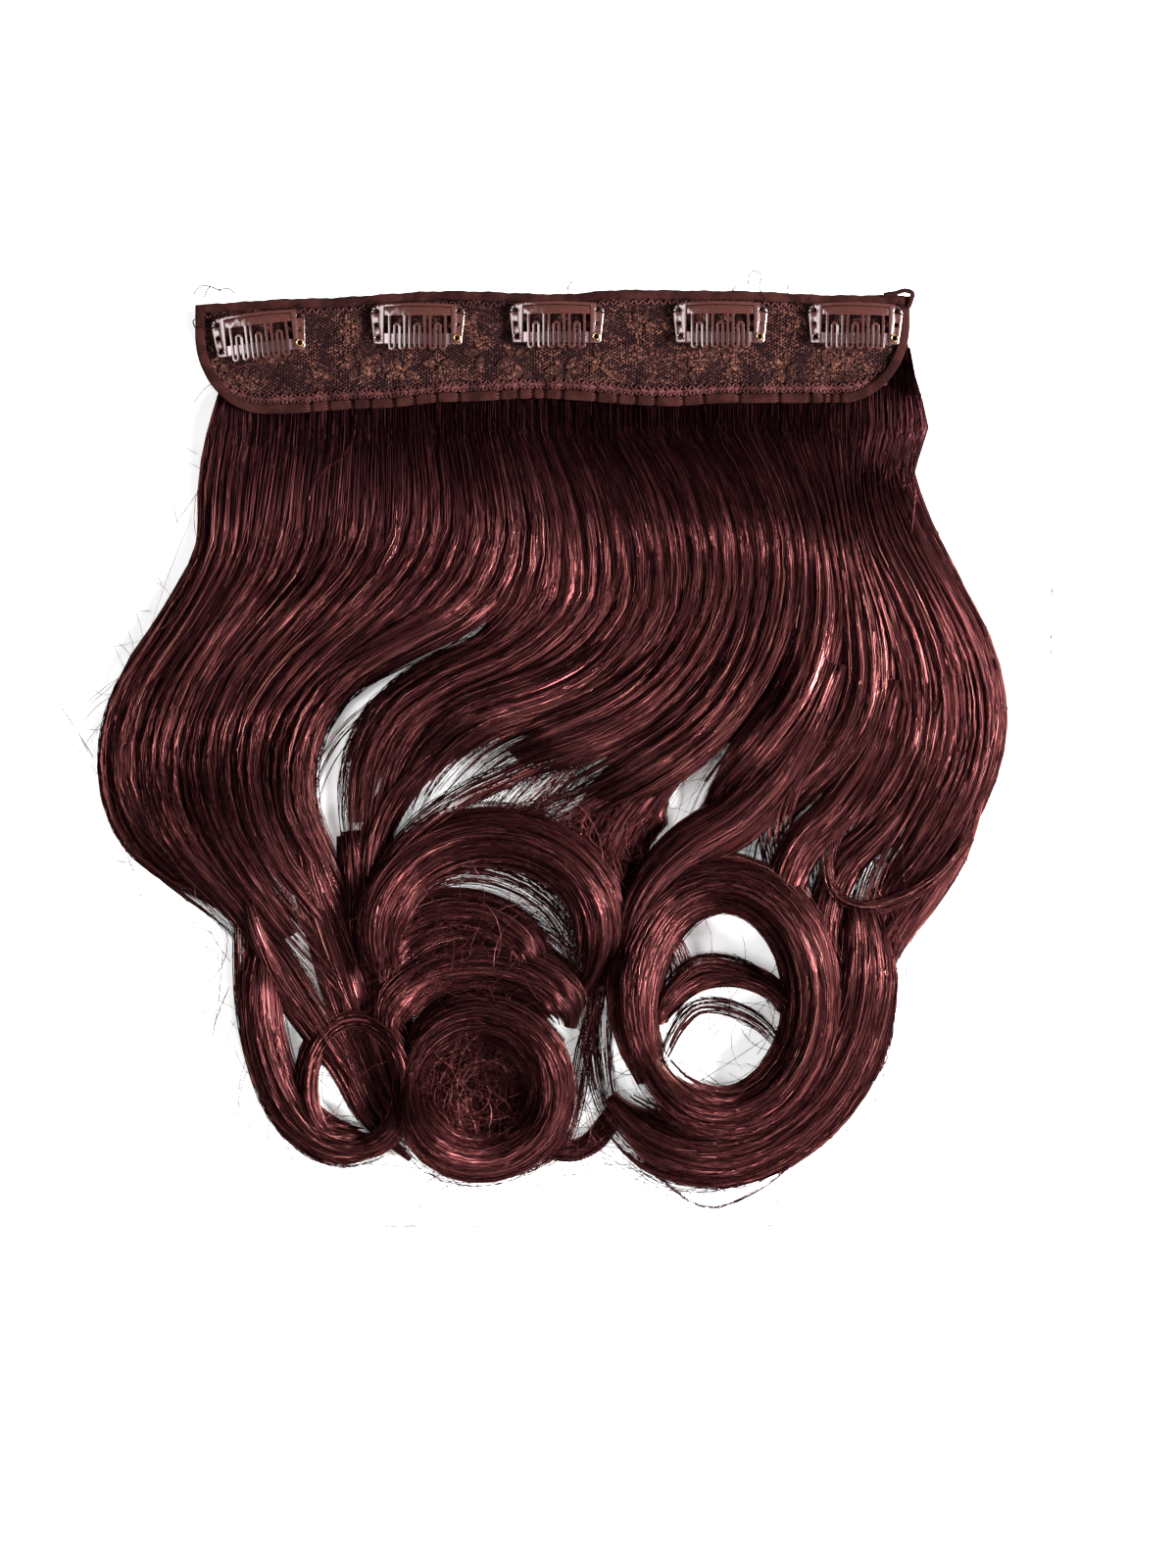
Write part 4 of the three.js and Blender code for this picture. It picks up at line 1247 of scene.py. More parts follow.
    def tangled(self, row: Tangle) -> Array:
        """Scatters short arcs of hair in a round bed.

        Args:
            row: the bed.

        Returns:
            The lines of its strands.
        """
        draw = self.random
        share = np.linspace(0, 1, self.stray_tube.stations)[None, :]
        each = (row.count, 1)
        reach = np.sqrt(draw.random(each))
        turn = draw.uniform(0, TURN, each)
        middle = on_hair(row.across, row.down, 0)
        bend = draw.uniform(*row.bend, each)
        heading = draw.uniform(0, TURN, each)
        way = draw.choice((-1, 1), each)
        sweep = np.radians(draw.uniform(50, 190, each))
        angle = heading + way * sweep * (share - 0.5)
        x = middle[0] + HALF_SPREAD * row.wide * reach * np.cos(turn)
        x = x + bend * (np.cos(angle) - np.cos(heading))
        y = middle[1] + DROP * row.deep * reach * np.sin(turn)
        y = np.maximum(y + bend * (np.sin(angle) - np.sin(heading)), -DROP * self.lowest)
        start, end = draw.uniform(*row.height, (2, row.count, 1))
        return np.stack([x, y, LOFT * (start + (end - start) * share)], axis=-1)

    def flyaways(self, count: int) -> Array:
        """Lets single hairs leave the outline in long bows.

        Args:
            count: how many.

        Returns:
            Their lines.
        """
        draw = self.random
        each = (count, 1)
        places = np.array([on_hair(across, down, 0) for across, down in OUTLINE])
        route = curved(places, 20)
        aside = sideways(route)
        at = draw.integers(0, len(route), count)
        share = np.linspace(0, 1, self.stray_tube.stations)[None, :]
        way = draw.choice((-1, 1), each)
        run = np.arctan2(aside[at, 1], aside[at, 0])[:, None] + math.pi / 2 * way
        run = run + draw.normal(0, 0.45, each) + 0.35 * way
        length = draw.gamma(2.6, 0.017, each).clip(0.014, 0.1)
        bow = draw.normal(0, 1.2, each)
        angle = run + bow * (share - 0.4)
        step = length / (self.stray_tube.stations - 1)
        in_x, in_y = (aside[at, i:i + 1] * draw.uniform(-0.001, 0.004, each) for i in (0, 1))
        x = route[at, :1] - in_x + np.cumsum(np.cos(angle) * step, axis=1)
        y = route[at, 1:2] - in_y + np.cumsum(np.sin(angle) * step, axis=1)
        z = draw.uniform(0.001, 0.012, each) + draw.uniform(-0.003, 0.006, each) * share
        x = np.clip(x, -HALF_SPREAD * self.widest, HALF_SPREAD * self.widest)
        y = np.clip(y, -DROP * self.lowest, BAND_TOP)
        return np.stack([x, y, np.maximum(z, STRAY_FLOOR)], axis=-1)

    def strays(self) -> list[Object]:
        """Adds the wisps, the tangles and the flyaway hairs.

        Returns:
            The pieces.
        """
        lines = [
            self.strand_lines(flow, self.wisp_tube.stations, row.count, row.stray)
            for flow, row in zip(self.wisps, WISPS)
        ]
        half = len(lines) // 2
        beds = np.concatenate([self.tangled(row) for row in TANGLES])
        beds[..., 2] = np.maximum(beds[..., 2], STRAY_FLOOR)
        pieces = []
        for name, tube, part, girth, tones in (
            ("hair_wisps_left", self.wisp_tube, np.concatenate(lines[:half]), 0.95, self.tones),
            ("hair_wisps_right", self.wisp_tube, np.concatenate(lines[half:]), 0.95, self.tones),
            ("hair_tangles", self.stray_tube, beds, 0.85, (0.45, 0.35, 0.15, 0.05)),
            ("hair_flyaways", self.stray_tube, self.flyaways(self.flyaway_count), 0.8, (0.4, 0.4, 0.2, 0)),
        ):
            marks = np.zeros(part.shape)
            marks[..., 0] = self.random.uniform(0, 400, (len(part), 1))
            marks[..., 1] = self.past_roots + np.linspace(0, 80, part.shape[1])[None, :]
            pieces.append(self.strand_mesh(name, tube, part, marks, girth * self.strand_radius, tones))
        return pieces

    def cores(self) -> Object:
        """Lofts the solid heart of each lock, standing on what the hair lies on.

        Returns:
            The piece.
        """
        tube = self.core_tube
        flows = self.falls + self.curls + self.filled
        share = tube.ring / (tube.stations - 1)
        depth = np.full(len(share), self.core_depth)
        places, marks = [], []
        for flow in flows:
            reach = self.core_reach[0 if flow.tuck else 1]
            slim = 1 - 0.6 * smooth((share - 0.8) / 0.2)
            top = flow.place(self.core_start + reach * share, tube.side * self.core_breadth * slim, depth)
            height = np.where(tube.rise >= -0.05, np.abs(tube.rise) ** 0.5, 0.0)
            top[:, 2] = STRAY_FLOOR + (top[:, 2] - STRAY_FLOOR) * height
            places.append(top)
            marks.append(self.flow_marks(flow, share, tube.side))
        shades = np.zeros(len(flows), int)
        mesh = tube.mesh("hair_cores", np.array(places), np.array(marks), shades)
        return finish_object("hair_cores", mesh, ROOT_BODY)

    def flow_marks(self, flow: Flow, share: Array, side: Array) -> Array:
        """Gives what the hair shader reads: millimetres across and along, and the lock's number.

        Args:
            flow: the lock.
            share: how far along it.
            side: how far across it.

        Returns:
            A vector for each point.
        """
        across = side * flow.breadth() / 2 / MM
        along = share * flow.length() / MM + (0 if flow.tuck else self.past_roots)
        return np.stack([across, along, np.full(share.shape, flow.number * self.number_step)], axis=-1)

    def tresses(self) -> Object:
        """Lays flat ribbons of hair over the cores.

        Returns:
            The piece.
        """
        tube = self.tress_tube
        share = tube.ring / (tube.stations - 1)
        places, marks, shades = [], [], []
        for flow in self.falls + self.curls + self.filled:
            count = max(3, round(flow.breadth() / self.tress_width))
            for i in range(count):
                home = -0.95 + 1.9 * (i + self.random.uniform(0.2, 0.8)) / count
                start = self.random.uniform(0, 0.04)
                end = self.random.uniform(0.8 if flow.tuck else 0.88, 0.99)
                along = start + (end - start) * share
                sway = 0.05 * np.sin(TURN * (self.random.uniform(0.6, 1.6) * along + self.random.random()))
                taper = 1 - 0.85 * smooth((share - 0.7) / 0.3)
                side = home + sway + tube.side * taper * 1.7 / count
                depth = self.random.uniform(0.6, 1.1) * MM - tube.rise * self.tress_rise * taper
                places.append(flow.place(along, side, depth))
                shift = np.array([0, 0, self.random.uniform(0, 40)])
                marks.append(self.flow_marks(flow, along, side) + shift)
                shades.append(self.random.integers(0, 3))
        mesh = tube.mesh("hair_tresses", np.array(places), np.array(marks), np.array(shades))
        return finish_object("hair_tresses", mesh, ROOT_BODY)

    def strand_lines(self, flow: Flow, stations: int, count: int, stray: float) -> Array:
        """Combs single strands along a flow.

        Args:
            flow: the lock that they belong to.
            stations: points of each strand.
            count: how many.
            stray: how far they cross each other, 1 for combed hair.

        Returns:
            Their lines, strands by stations by three.
        """
        draw = self.random
        each = (count, 1)
        share = np.linspace(0, 1, stations)[None, :]
        start = draw.uniform(0, 0.05 if flow.tuck else 0.16, each)
        end = draw.uniform(0.8 if flow.tuck else 0.88, 1.0, each)
        along = start + (end - start) * share
        home = draw.uniform(-1, 1, each)
        bunch = np.round(home * 5) / 5 + 0.04
        side = home + (bunch - home) * 0.4 * smooth((along - 0.3) / 0.5)
        for wave, reach in ((0.8, 0.07), (2.1, 0.025)):
            turn = draw.uniform(0.6, 1.4, each) * wave
            swing = stray * reach * draw.normal(0, 1, each)
            side = side + swing * np.sin(TURN * (turn * along + draw.random(each)))
        side = side + stray * draw.normal(0, 0.14, each) * (along - 0.4) * (0 if flow.tuck else 1)
        depth = draw.gamma(1.6, 0.55, each) * MM - self.strand_wander
        waves = draw.uniform(0.8, 2.4, each) * along + draw.random(each)
        depth = depth + self.strand_wander * np.sin(TURN * waves)
        return flow.place(along, side, depth)

    def strand_piece(self, name: str, flows: list[Flow], density: float) -> Object:
        """Combs strands over some flows as one piece.

        Args:
            name: the piece's name.
            flows: the locks.
            density: strands for each millimetre of their breadth, on a lock of a quarter metre.

        Returns:
            The piece.
        """
        tube = self.fall_tube if flows[0].tuck else self.curl_tube
        lines, marks = [], []
        for flow in flows:
            count = max(16, round(density * flow.breadth() / MM * min(1.0, flow.length() / 0.12)))
            made = self.strand_lines(flow, tube.stations, count, 1.0 if flow.tuck else 1.9)
            lines.append(made)
            mark = np.zeros(made.shape)
            mark[..., 0] = self.random.uniform(0, 400, (count, 1))
            mark[..., 1] = np.linspace(0, flow.length() / MM, tube.stations)[None, :]
            mark[..., 1] += 0 if flow.tuck else self.past_roots
            mark[..., 2] = flow.number * self.number_step
            marks.append(mark)
        joined, marked = np.concatenate(lines), np.concatenate(marks)
        return self.strand_mesh(name, tube, joined, marked, self.strand_radius, self.tones)

    def strand_mesh(
        self,
        name: str,
        tube: Tube,
        lines: Array,
        marks: Array,
        radius: float,
        tones: tuple[float, ...],
    ) -> Object:
        """Gives strands their tapered roundness and their shades.

        Args:
            name: the piece's name.
            tube: the tube that is laid along each strand.
            lines: strands by stations by three.
            marks: the same, what the hair shader reads.
            radius: the middling strand's.
            tones: the share of strands in each shade, from the darkest.

        Returns:
            The piece.
        """
        count, stations = lines.shape[:2]
        share = np.linspace(0, 1, stations)[None, :]
        radii = radius * self.random.uniform(0.7, 1.25, (count, 1)) * (1 - 0.7 * smooth((share - 0.7) / 0.3))
        shades = self.random.choice(len(HAIR_SHADES), count, p=tones)
        mesh = tube.mesh(name, tube.round_lines(lines, radii), marks[:, tube.ring], shades)
        return finish_object(name, mesh, ROOT_BODY)

    def build(self, effects: Effects) -> None:
        """Builds and dresses all the hair.

        Args:
            effects: the shared groups.
        """
        shades = [finish.material(effects) for finish in HAIR_SHADES]
        body = HAIR_BODY.material(effects)
        cores = self.cores()
        cores.data.materials.append(body)
        tresses = self.tresses()
        for _ in range(3):
            tresses.data.materials.append(body)
        strands = [
            self.strand_piece("hair_strands_left", self.falls[:5], self.fall_density),
            self.strand_piece("hair_strands_middle", self.falls[5:9], self.fall_density),
            self.strand_piece("hair_strands_right", self.falls[9:], self.fall_density),
            self.strand_piece("hair_curl_strands_left", self.curls[:8], self.curl_density),
            self.strand_piece("hair_curl_strands_right", self.curls[8:], self.curl_density),
            *self.strays(),
        ]
        for piece in strands:
            for shade in shades:
                piece.data.materials.append(shade)
        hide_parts("hair")


def thread_piece(
    name: str, lines: list[Array], radius: float, finish: Material, sides: int = 4
) -> Object:
    """Makes threads of one thickness along lines of the same count of points.

    Args:
        name: the piece's name.
        lines: the middle line of each thread.
        radius: half of a thread's thickness.
        finish: its material.
        sides: faces round a thread.

    Returns:
        The piece.
    """
    tube = Tube(sides, len(lines[0]))
    joined = np.array(lines)
    places = tube.round_lines(joined, np.full(joined.shape[:2], radius))
    mesh = tube.mesh(name, places, np.zeros(places.shape), np.zeros(len(lines), int))
    mesh.materials.append(finish)
    return finish_object(name, mesh, ROOT_BODY)


@dataclass(frozen=True)
class Sprig:
    """A woven motif: petals round a point, in shares of the half band and the band's height."""

    along: float
    down: float
    petals: int
    reach: float
    turn: float
    spread: float = 360


SPRIGS = (
    Sprig(-0.86, 0.72, 5, 5.0, 20), Sprig(-0.72, 0.45, 4, 4.6, 70), Sprig(-0.66, 0.74, 6, 5.4, 0),
    Sprig(-0.57, 0.3, 5, 5.2, 40), Sprig(-0.55, 0.62, 6, 6.2, 15), Sprig(-0.42, 0.72, 5, 5.2, 50),
    Sprig(-0.32, 0.66, 4, 5.0, 10), Sprig(-0.27, 0.3, 5, 4.8, 80), Sprig(-0.2, 0.56, 3, 6.4, 100, 160),
    Sprig(-0.11, 0.6, 3, 6.6, 60, 150), Sprig(-0.09, 0.78, 5, 4.6, 30), Sprig(0.03, 0.7, 6, 6.4, 0),
    Sprig(0.13, 0.64, 5, 5.6, 25), Sprig(0.25, 0.32, 6, 5.6, 10), Sprig(0.34, 0.38, 4, 5.4, 60),
    Sprig(0.38, 0.72, 5, 5.2, 0), Sprig(0.49, 0.68, 5, 5.4, 45), Sprig(0.65, 0.7, 6, 5.8, 15),
    Sprig(0.68, 0.34, 4, 4.6, 80), Sprig(0.77, 0.68, 5, 5.8, 35), Sprig(0.79, 0.36, 4, 4.4, 10),
    Sprig(0.9, 0.72, 4, 5.0, 60), Sprig(-0.94, 0.62, 4, 4.0, 45), Sprig(0.2, 0.12, 4, 3.6, 20),
)


@dataclass
class LaceBand:
    """The lace band with its tapes, woven motifs, stitches and loose threads."""

    effects: Effects
    wall: float = 1.0 * MM
    inset: float = 1.1 * MM
    gather_pitch: float = 17.3 * MM
    ripple: float = 0.4 * MM
    creases: tuple[float, ...] = (
        -82, -76, -68, -62, -54, -47, -39.5, -32, -18, -12, -7, -3, 3, 14.6, 21.7, 28, 34.5, 44, 51, 63,
        76.5, 87, 91.5, 94, 97,
    )
    crease_depth: float = 0.5 * MM
    petal_rise: float = 0.5 * MM
    hem_width: float = 3.4 * MM
    top_width: float = 3.2 * MM
    tape_seat: float = LACE_TOP + 0.75 * MM
    tape_rise: float = 0.5 * MM
    fold: tuple[Triple, ...] = (
        (112, -1.2, 1.7), (116, -0.6, 2.3), (119.5, 0.2, 2.7), (121.6, -0.6, 2.6), (121.2, -3.4, 2.2),
        (120.4, -5.4, 1.6),
    )
    fold_radius: float = 0.85 * MM
    stitch_radius: float = 0.28 * MM
    scallop: float = 2.9 * MM
    scallop_height: float = 4.7 * MM
    weft_count: int = 5
    weft_inset: float = 3.0 * MM
    weft_bottom: float = 0.3 * MM
    weft_gap: float = 0.15 * MM
    seed: int = 5

    def __post_init__(self) -> None:
        """Makes the finishes."""
        self.random = np.random.default_rng(self.seed)
        finishes = (LACE_NET, LACE_MOTIF, TAPE, THREAD, DARK_THREAD, WEFT)
        made = [finish.material(self.effects) for finish in finishes]
        self.net, self.motif, self.tape, self.thread, self.dark, self.weft = made

    def surface(self, x: Array, y: Array) -> Array:
        """Gives the height of the lace at a point, drawn up in gathers towards the hem.

        Args:
            x: places along the band.
            y: places across it.

        Returns:
            The heights.
        """
        share = np.clip((top_at(x) - y) / BAND_HEIGHT, 0, 1)
        gather = np.cos(TURN * x / self.gather_pitch) * share
        near = np.min(np.abs(np.asarray(x, float)[..., None] / MM - np.array(self.creases)), axis=-1)
        crease = self.crease_depth * np.exp(-((near / 0.9) ** 2)) * smooth((share - 0.4) / 0.5)
        pucker = 0.45 * np.sin(TURN * (x / (6.1 * MM) + 1.6 * share)) * np.sin(TURN * (y / (8.3 * MM)))
        return LACE_TOP - self.ripple + self.ripple * (0.7 * gather + pucker) - crease

    def panel(self) -> Object:
        """Lays the lace between the two edges of the band.

        Returns:
            The piece.
        """
        shape = bmesh.new()
        bmesh.ops.create_grid(shape, x_segments=220, y_segments=20, size=1)
        for vert in shape.verts:
            x = vert.co.x * (HALF_BAND - self.inset)
            low, high = float(hem_at(x)) + self.inset, float(top_at(x)) - self.inset
            y = low + (high - low) * (vert.co.y + 1) / 2
            vert.co = (x, y, float(self.surface(np.array(x), np.array(y))))
        raised_copy(shape, shape.faces[:], -self.wall)
        bmesh.ops.recalc_face_normals(shape, faces=shape.faces)
        mesh = finish_mesh(shape, "lace_net_panel", self.net)
        piece = finish_object("lace_net_panel", mesh, ROOT_BODY)
        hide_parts("lace_panel")
        return piece

    def wefts(self) -> Object:
        """Stacks the sewn wefts that carry the hair under the lace.

        Returns:
            The piece.
        """
        shape = bmesh.new()
        step = (TUCKED_HAIR - self.weft_bottom) / self.weft_count
        for layer in range(self.weft_count):
            made = bmesh.ops.create_grid(shape, x_segments=90, y_segments=3, size=1)
            inset = self.weft_inset + 0.35 * MM * (layer % 2)
            low = self.weft_bottom + layer * step
            for vert in made["verts"]:
                x = vert.co.x * (HALF_BAND - inset)
                bottom, top = float(hem_at(x)) + inset, float(top_at(x)) - inset
                y = bottom + (top - bottom) * (vert.co.y + 1) / 2
                vert.co = (x, y + 0.25 * MM * math.sin(x / (1.3 * MM) + layer), low)
            shape.faces.index_update()
            linked = {face for vert in made["verts"] for face in vert.link_faces}
            faces = sorted(linked, key=lambda face: face.index)
            raised_copy(shape, faces, step - self.weft_gap)
        bmesh.ops.recalc_face_normals(shape, faces=shape.faces)
        mesh = finish_mesh(shape, "hair_wefts", self.weft, smooth_faces=False)
        piece = finish_object("hair_wefts", mesh, ROOT_BODY)
        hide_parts("hair")
        return piece

    def petal(
        self, shape: bmesh.types.BMesh, place: Vector, length: float, width: float, angle: float
    ) -> None:
        """Sews one raised petal on the lace.

        Args:
            shape: the mesh that it joins.
            place: its middle.
            length: from its base to its tip.
            width: across it.
            angle: the direction of its tip.
        """
        made = bmesh.ops.create_uvsphere(shape, u_segments=10, v_segments=5, radius=0.5)
        turn = Matrix.Rotation(angle, 3, "Z")
        for vert in made["verts"]:
            x, y, z = vert.co
            taper = 1 - 0.7 * x * abs(x) - 0.35 * (x + 0.5)
            spot = turn @ Vector((x * length, y * width * taper * 1.35, 0)) + place
            lift = float(self.surface(np.array(spot.x), np.array(spot.y)))
            vert.co = (spot.x, spot.y, lift + 0.08 * MM + z * self.petal_rise)

    def motifs(self) -> Object:
        """Weaves the flowers and leaves.

        Returns:
            The piece.
        """
        shape = bmesh.new()
        draw = self.random
        for row in SPRIGS:
            x = row.along * HALF_BAND
            y = float(top_at(x)) - row.down * BAND_HEIGHT
            for i in range(row.petals):
                share = i / row.petals if row.spread == 360 else i / (row.petals - 1)
                angle = math.radians(row.turn + row.spread * share + draw.uniform(-12, 12))
                length = row.reach * MM * draw.uniform(0.75, 1.1)
                middle = Vector((x + 0.62 * length * math.cos(angle), y + 0.62 * length * math.sin(angle), 0))
                self.petal(shape, middle, length, length * draw.uniform(0.36, 0.5), angle)
        return self.sewn(shape, "lace_motifs", self.motif)

    def scallops(self) -> Object:
        """Crochets the raised row that runs over the hem, drawn in where the hem is tucked.

        Returns:
            The piece.
        """
        shape = bmesh.new()
        reach = HALF_BAND - 7 * MM
        for x in np.arange(-reach, reach, self.scallop):
            middle = Vector((x, float(hem_at(x)) + self.scallop_height, 0))
            width = 2.6 * MM * self.random.uniform(0.75, 1.2)
            self.petal(shape, middle, 1.25 * self.scallop, width, self.random.uniform(-0.3, 0.3))
        return self.sewn(shape, "lace_scallops", self.thread)

    def sewn(self, shape: bmesh.types.BMesh, name: str, finish: Material) -> Object:
        """Makes a piece of what is woven on the lace.

        Args:
            shape: its mesh, which is freed.
            name: the piece's name.
            finish: its material.

        Returns:
            The piece.
        """
        return finish_object(name, finish_mesh(shape, name, finish), ROOT_BODY)

    def stitch(self, start: Pair, end: Pair, bow: float) -> Array:
        """Draws one stitch over the lace, bowed up in its middle.

        Args:
            start: where it goes in.
            end: where it comes out.
            bow: how high it stands.

        Returns:
            Its points.
        """
        share = np.linspace(0, 1, 4)
        x = start[0] + (end[0] - start[0]) * share
        y = start[1] + (end[1] - start[1]) * share
        z = self.surface(x, y) + 0.05 * MM + bow * np.sin(math.pi * share)
        return np.stack([x, y, z], axis=1)

    def zigzag(
        self, edge: Edge, offset: float, reach: float, pitch: float, bow: float
    ) -> list[Array]:
        """Draws a row of zigzag stitches along an edge of the band.

        Args:
            edge: the function that gives the edge at x.
            offset: from the edge to the row's middle.
            reach: half of the row's width.
            pitch: from one stitch to the next.
            bow: how high each stands.

        Returns:
            Its stitches.
        """
        half = HALF_BAND - 3 * MM
        xs = np.arange(-half, half, pitch)
        ys = [float(edge(x)) + offset + reach * (-1) ** i for i, x in enumerate(xs)]
        jitter = self.random.normal(0, 0.1 * MM, (len(xs), 2))
        spots = [(x + dx, y + dy) for x, y, (dx, dy) in zip(xs, ys, jitter)]
        return [self.stitch(spots[i], spots[i + 1], bow) for i in range(len(spots) - 1)]

    def stitches(self) -> list[Object]:
        """Sews the rows of stitches and the tucks of the hem.

        Returns:
            The two pieces.
        """
        rows = []
        for edge, offset, reach, pitch, bow in (
            (hem_at, 4.0, 0.7, 1.3, 0.8),
            (hem_at, 6.2, 0.8, 1.5, 0.7),
            (top_at, -1.7, 0.9, 1.2, 1.35),
            (top_at, -4.2, 0.8, 1.4, 0.5),
        ):
            rows += self.zigzag(edge, offset * MM, reach * MM, pitch * MM, bow * MM)
        tucks = []
        for crease in self.creases:
            x = crease * MM
            low = float(hem_at(x))
            tucks.append(self.stitch((x, low + 0.3 * MM), (x + 0.3 * MM, low + 3.3 * MM), 0.9 * MM))
        return [
            thread_piece("lace_stitches", rows, self.stitch_radius, self.thread),
            thread_piece("hem_tucks", tucks, 1.2 * self.stitch_radius, self.dark),
        ]

    def loose_threads(self) -> Object:
        """Lets the loose ends of thread stand off the band's edges.

        Returns:
            The piece.
        """
        ends = (
            ((66, 2), (67.5, 7), (70.5, 6), (70, 1), (72, -2)),
            ((5, 0), (5.3, 1.6), (5.8, 2.4), (6.2, 3), (6.1, 3.4)),
            ((60.5, -1), (61, 0.6), (61.6, 1.4), (62, 1.9), (62.1, 2.6)),
            ((79.5, -1), (79.7, 0.4), (79.4, 1.2), (79.6, 1.8), (80.2, 2.2)),
            ((-117, -8), (-119.5, -8.6), (-121.6, -10), (-120.6, -12.4), (-118, -12)),
            ((-112, 0), (-115, 1.4), (-118, 2), (-120, 1), (-121.4, -1)),
            ((-118, -2), (-116, 1.5), (-113, 0.6), (-110, 1), (-107, -1)),
        )
        lines = []
        for points in ends:
            spots = [
                (x * MM, BAND_TOP + y * MM, LACE_TOP + (0.8 + 0.3 * i) * MM)
                for i, (x, y) in enumerate(points)
            ]
            lines.append(curved(np.array(spots), 6))
        return thread_piece("loose_threads", lines, 0.8 * self.stitch_radius, self.dark)

    def tape_strip(
        self, name: str, route: Array, widths: Array, lifts: Array, node: str
    ) -> Object:
        """Lays a flat tape along a route.

        Args:
            name: the piece's name.
            route: points in the plane of the band.
            widths: half of its width at each point.
            lifts: its rise over its seat at each point.
            node: the CAD node that it stands for.

        Returns:
            The tape.
        """
        tube = Tube(10, len(route))
        along = np.gradient(route, axis=0)
        along /= np.linalg.norm(along, axis=1, keepdims=True)
        aside = np.stack([-along[:, 1], along[:, 0]], axis=1)
        side = np.sign(tube.side) * np.abs(tube.side) ** 0.7
        rise = np.sign(tube.rise) * np.abs(tube.rise) ** 0.7
        flat = route[tube.ring] + aside[tube.ring] * (side * widths[tube.ring])[:, None]
        height = self.tape_seat + lifts[tube.ring] + rise * self.tape_rise
        places = np.concatenate([flat, height[:, None]], axis=1)[None]
        mesh = tube.mesh(name, places, np.zeros(places.shape), np.zeros(1, int))
        mesh.materials.append(self.tape)
        piece = finish_object(name, mesh, ROOT_BODY)
        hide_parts(node)
        return piece

    def hem(self) -> Object:
        """Binds the two ends and the bottom edge, drawn in at the creases.

        Returns:
            The piece.
        """
        half = HALF_BAND - self.hem_width / 2
        turn = np.linspace(math.pi / 2, 0, 40)
        corner_x = HALF_BAND - CORNER_WIDTH + (CORNER_WIDTH - self.hem_width / 2) * np.sin(turn)
        middle_x = np.linspace(-(HALF_BAND - CORNER_WIDTH), HALF_BAND - CORNER_WIDTH, 520)[1:-1]
        rise = (CORNER_HEIGHT - self.hem_width / 2) * (1 - np.cos(turn))
        points = []
        top_left = float(top_at(-half)) - 0.4 * MM
        base_left = float(line_at(HEM_LINE, -half)) + self.hem_width / 2
        for y in np.linspace(top_left, base_left + rise[0], 12)[:-1]:
            points.append((-half, y))
        for x, lift in zip(corner_x, rise):
            points.append((-x, float(line_at(HEM_LINE, -x)) + self.hem_width / 2 + lift))
        for x in middle_x:
            points.append((x, float(hem_at(x)) + self.hem_width / 2))
        for x, lift in zip(corner_x[::-1], rise[::-1]):
            points.append((x, float(line_at(HEM_LINE, x)) + self.hem_width / 2 + lift))
        top_right = float(top_at(half)) - 0.4 * MM
        base_right = float(line_at(HEM_LINE, half)) + self.hem_width / 2
        for y in np.linspace(base_right + rise[0], top_right, 12)[1:]:
            points.append((half, y))
        route = np.array(points)
        flat = route[:, 0] / MM
        near = np.min(np.abs(flat[:, None] - np.array(self.creases)[None, :]), axis=1)
        dent = np.exp(-((near / 0.7) ** 2)) * (route[:, 1] < float(hem_at(0)) + 20 * MM)
        bulge = 0.25 * np.sin(flat / 2.1) + 0.2 * np.sin(flat / 0.83)
        widths = self.hem_width / 2 * (1 + 0.05 * bulge - 0.2 * dent)
        lifts = (0.2 * bulge - 0.95 * dent) * MM
        return self.tape_strip("hem_binding", route, widths, lifts, "hem_tape")

    def top(self) -> Object:
        """Binds the top edge, its end folded back over itself at the right.

        Returns:
            The piece.
        """
        xs = np.linspace(-HALF_BAND + 0.5 * MM, HALF_BAND - 2 * MM, 420)
        route = np.stack([xs, top_at(xs) - self.top_width / 2], axis=1)
        near = np.sin(xs / (1.9 * MM)) + 0.6 * np.sin(xs / (0.73 * MM))
        widths = self.top_width / 2 * (1 + 0.07 * near)
        widths[:14] *= np.linspace(0.75, 1, 14)
        lifts = (0.12 * near + 0.9 * smooth((xs / MM - 112) / 4)) * MM
        return self.tape_strip("top_binding", route, widths, lifts, "top_tape")

    def folded_end(self) -> Object:
        """Folds the top tape's raw end up over the corner."""
        route = curved(np.array(self.fold), 8) * MM + np.array([0, BAND_TOP, LACE_TOP])
        return thread_piece("folded_end", [route], self.fold_radius, self.tape, sides=10)

    def build(self) -> None:
        """Builds the band on the wefts that it is sewn to."""
        beneath = self.wefts()
        panel = self.panel()
        trims = [self.motifs(), self.scallops(), *self.stitches(), self.loose_threads()]
        trims += [self.hem(), self.top(), self.folded_end()]


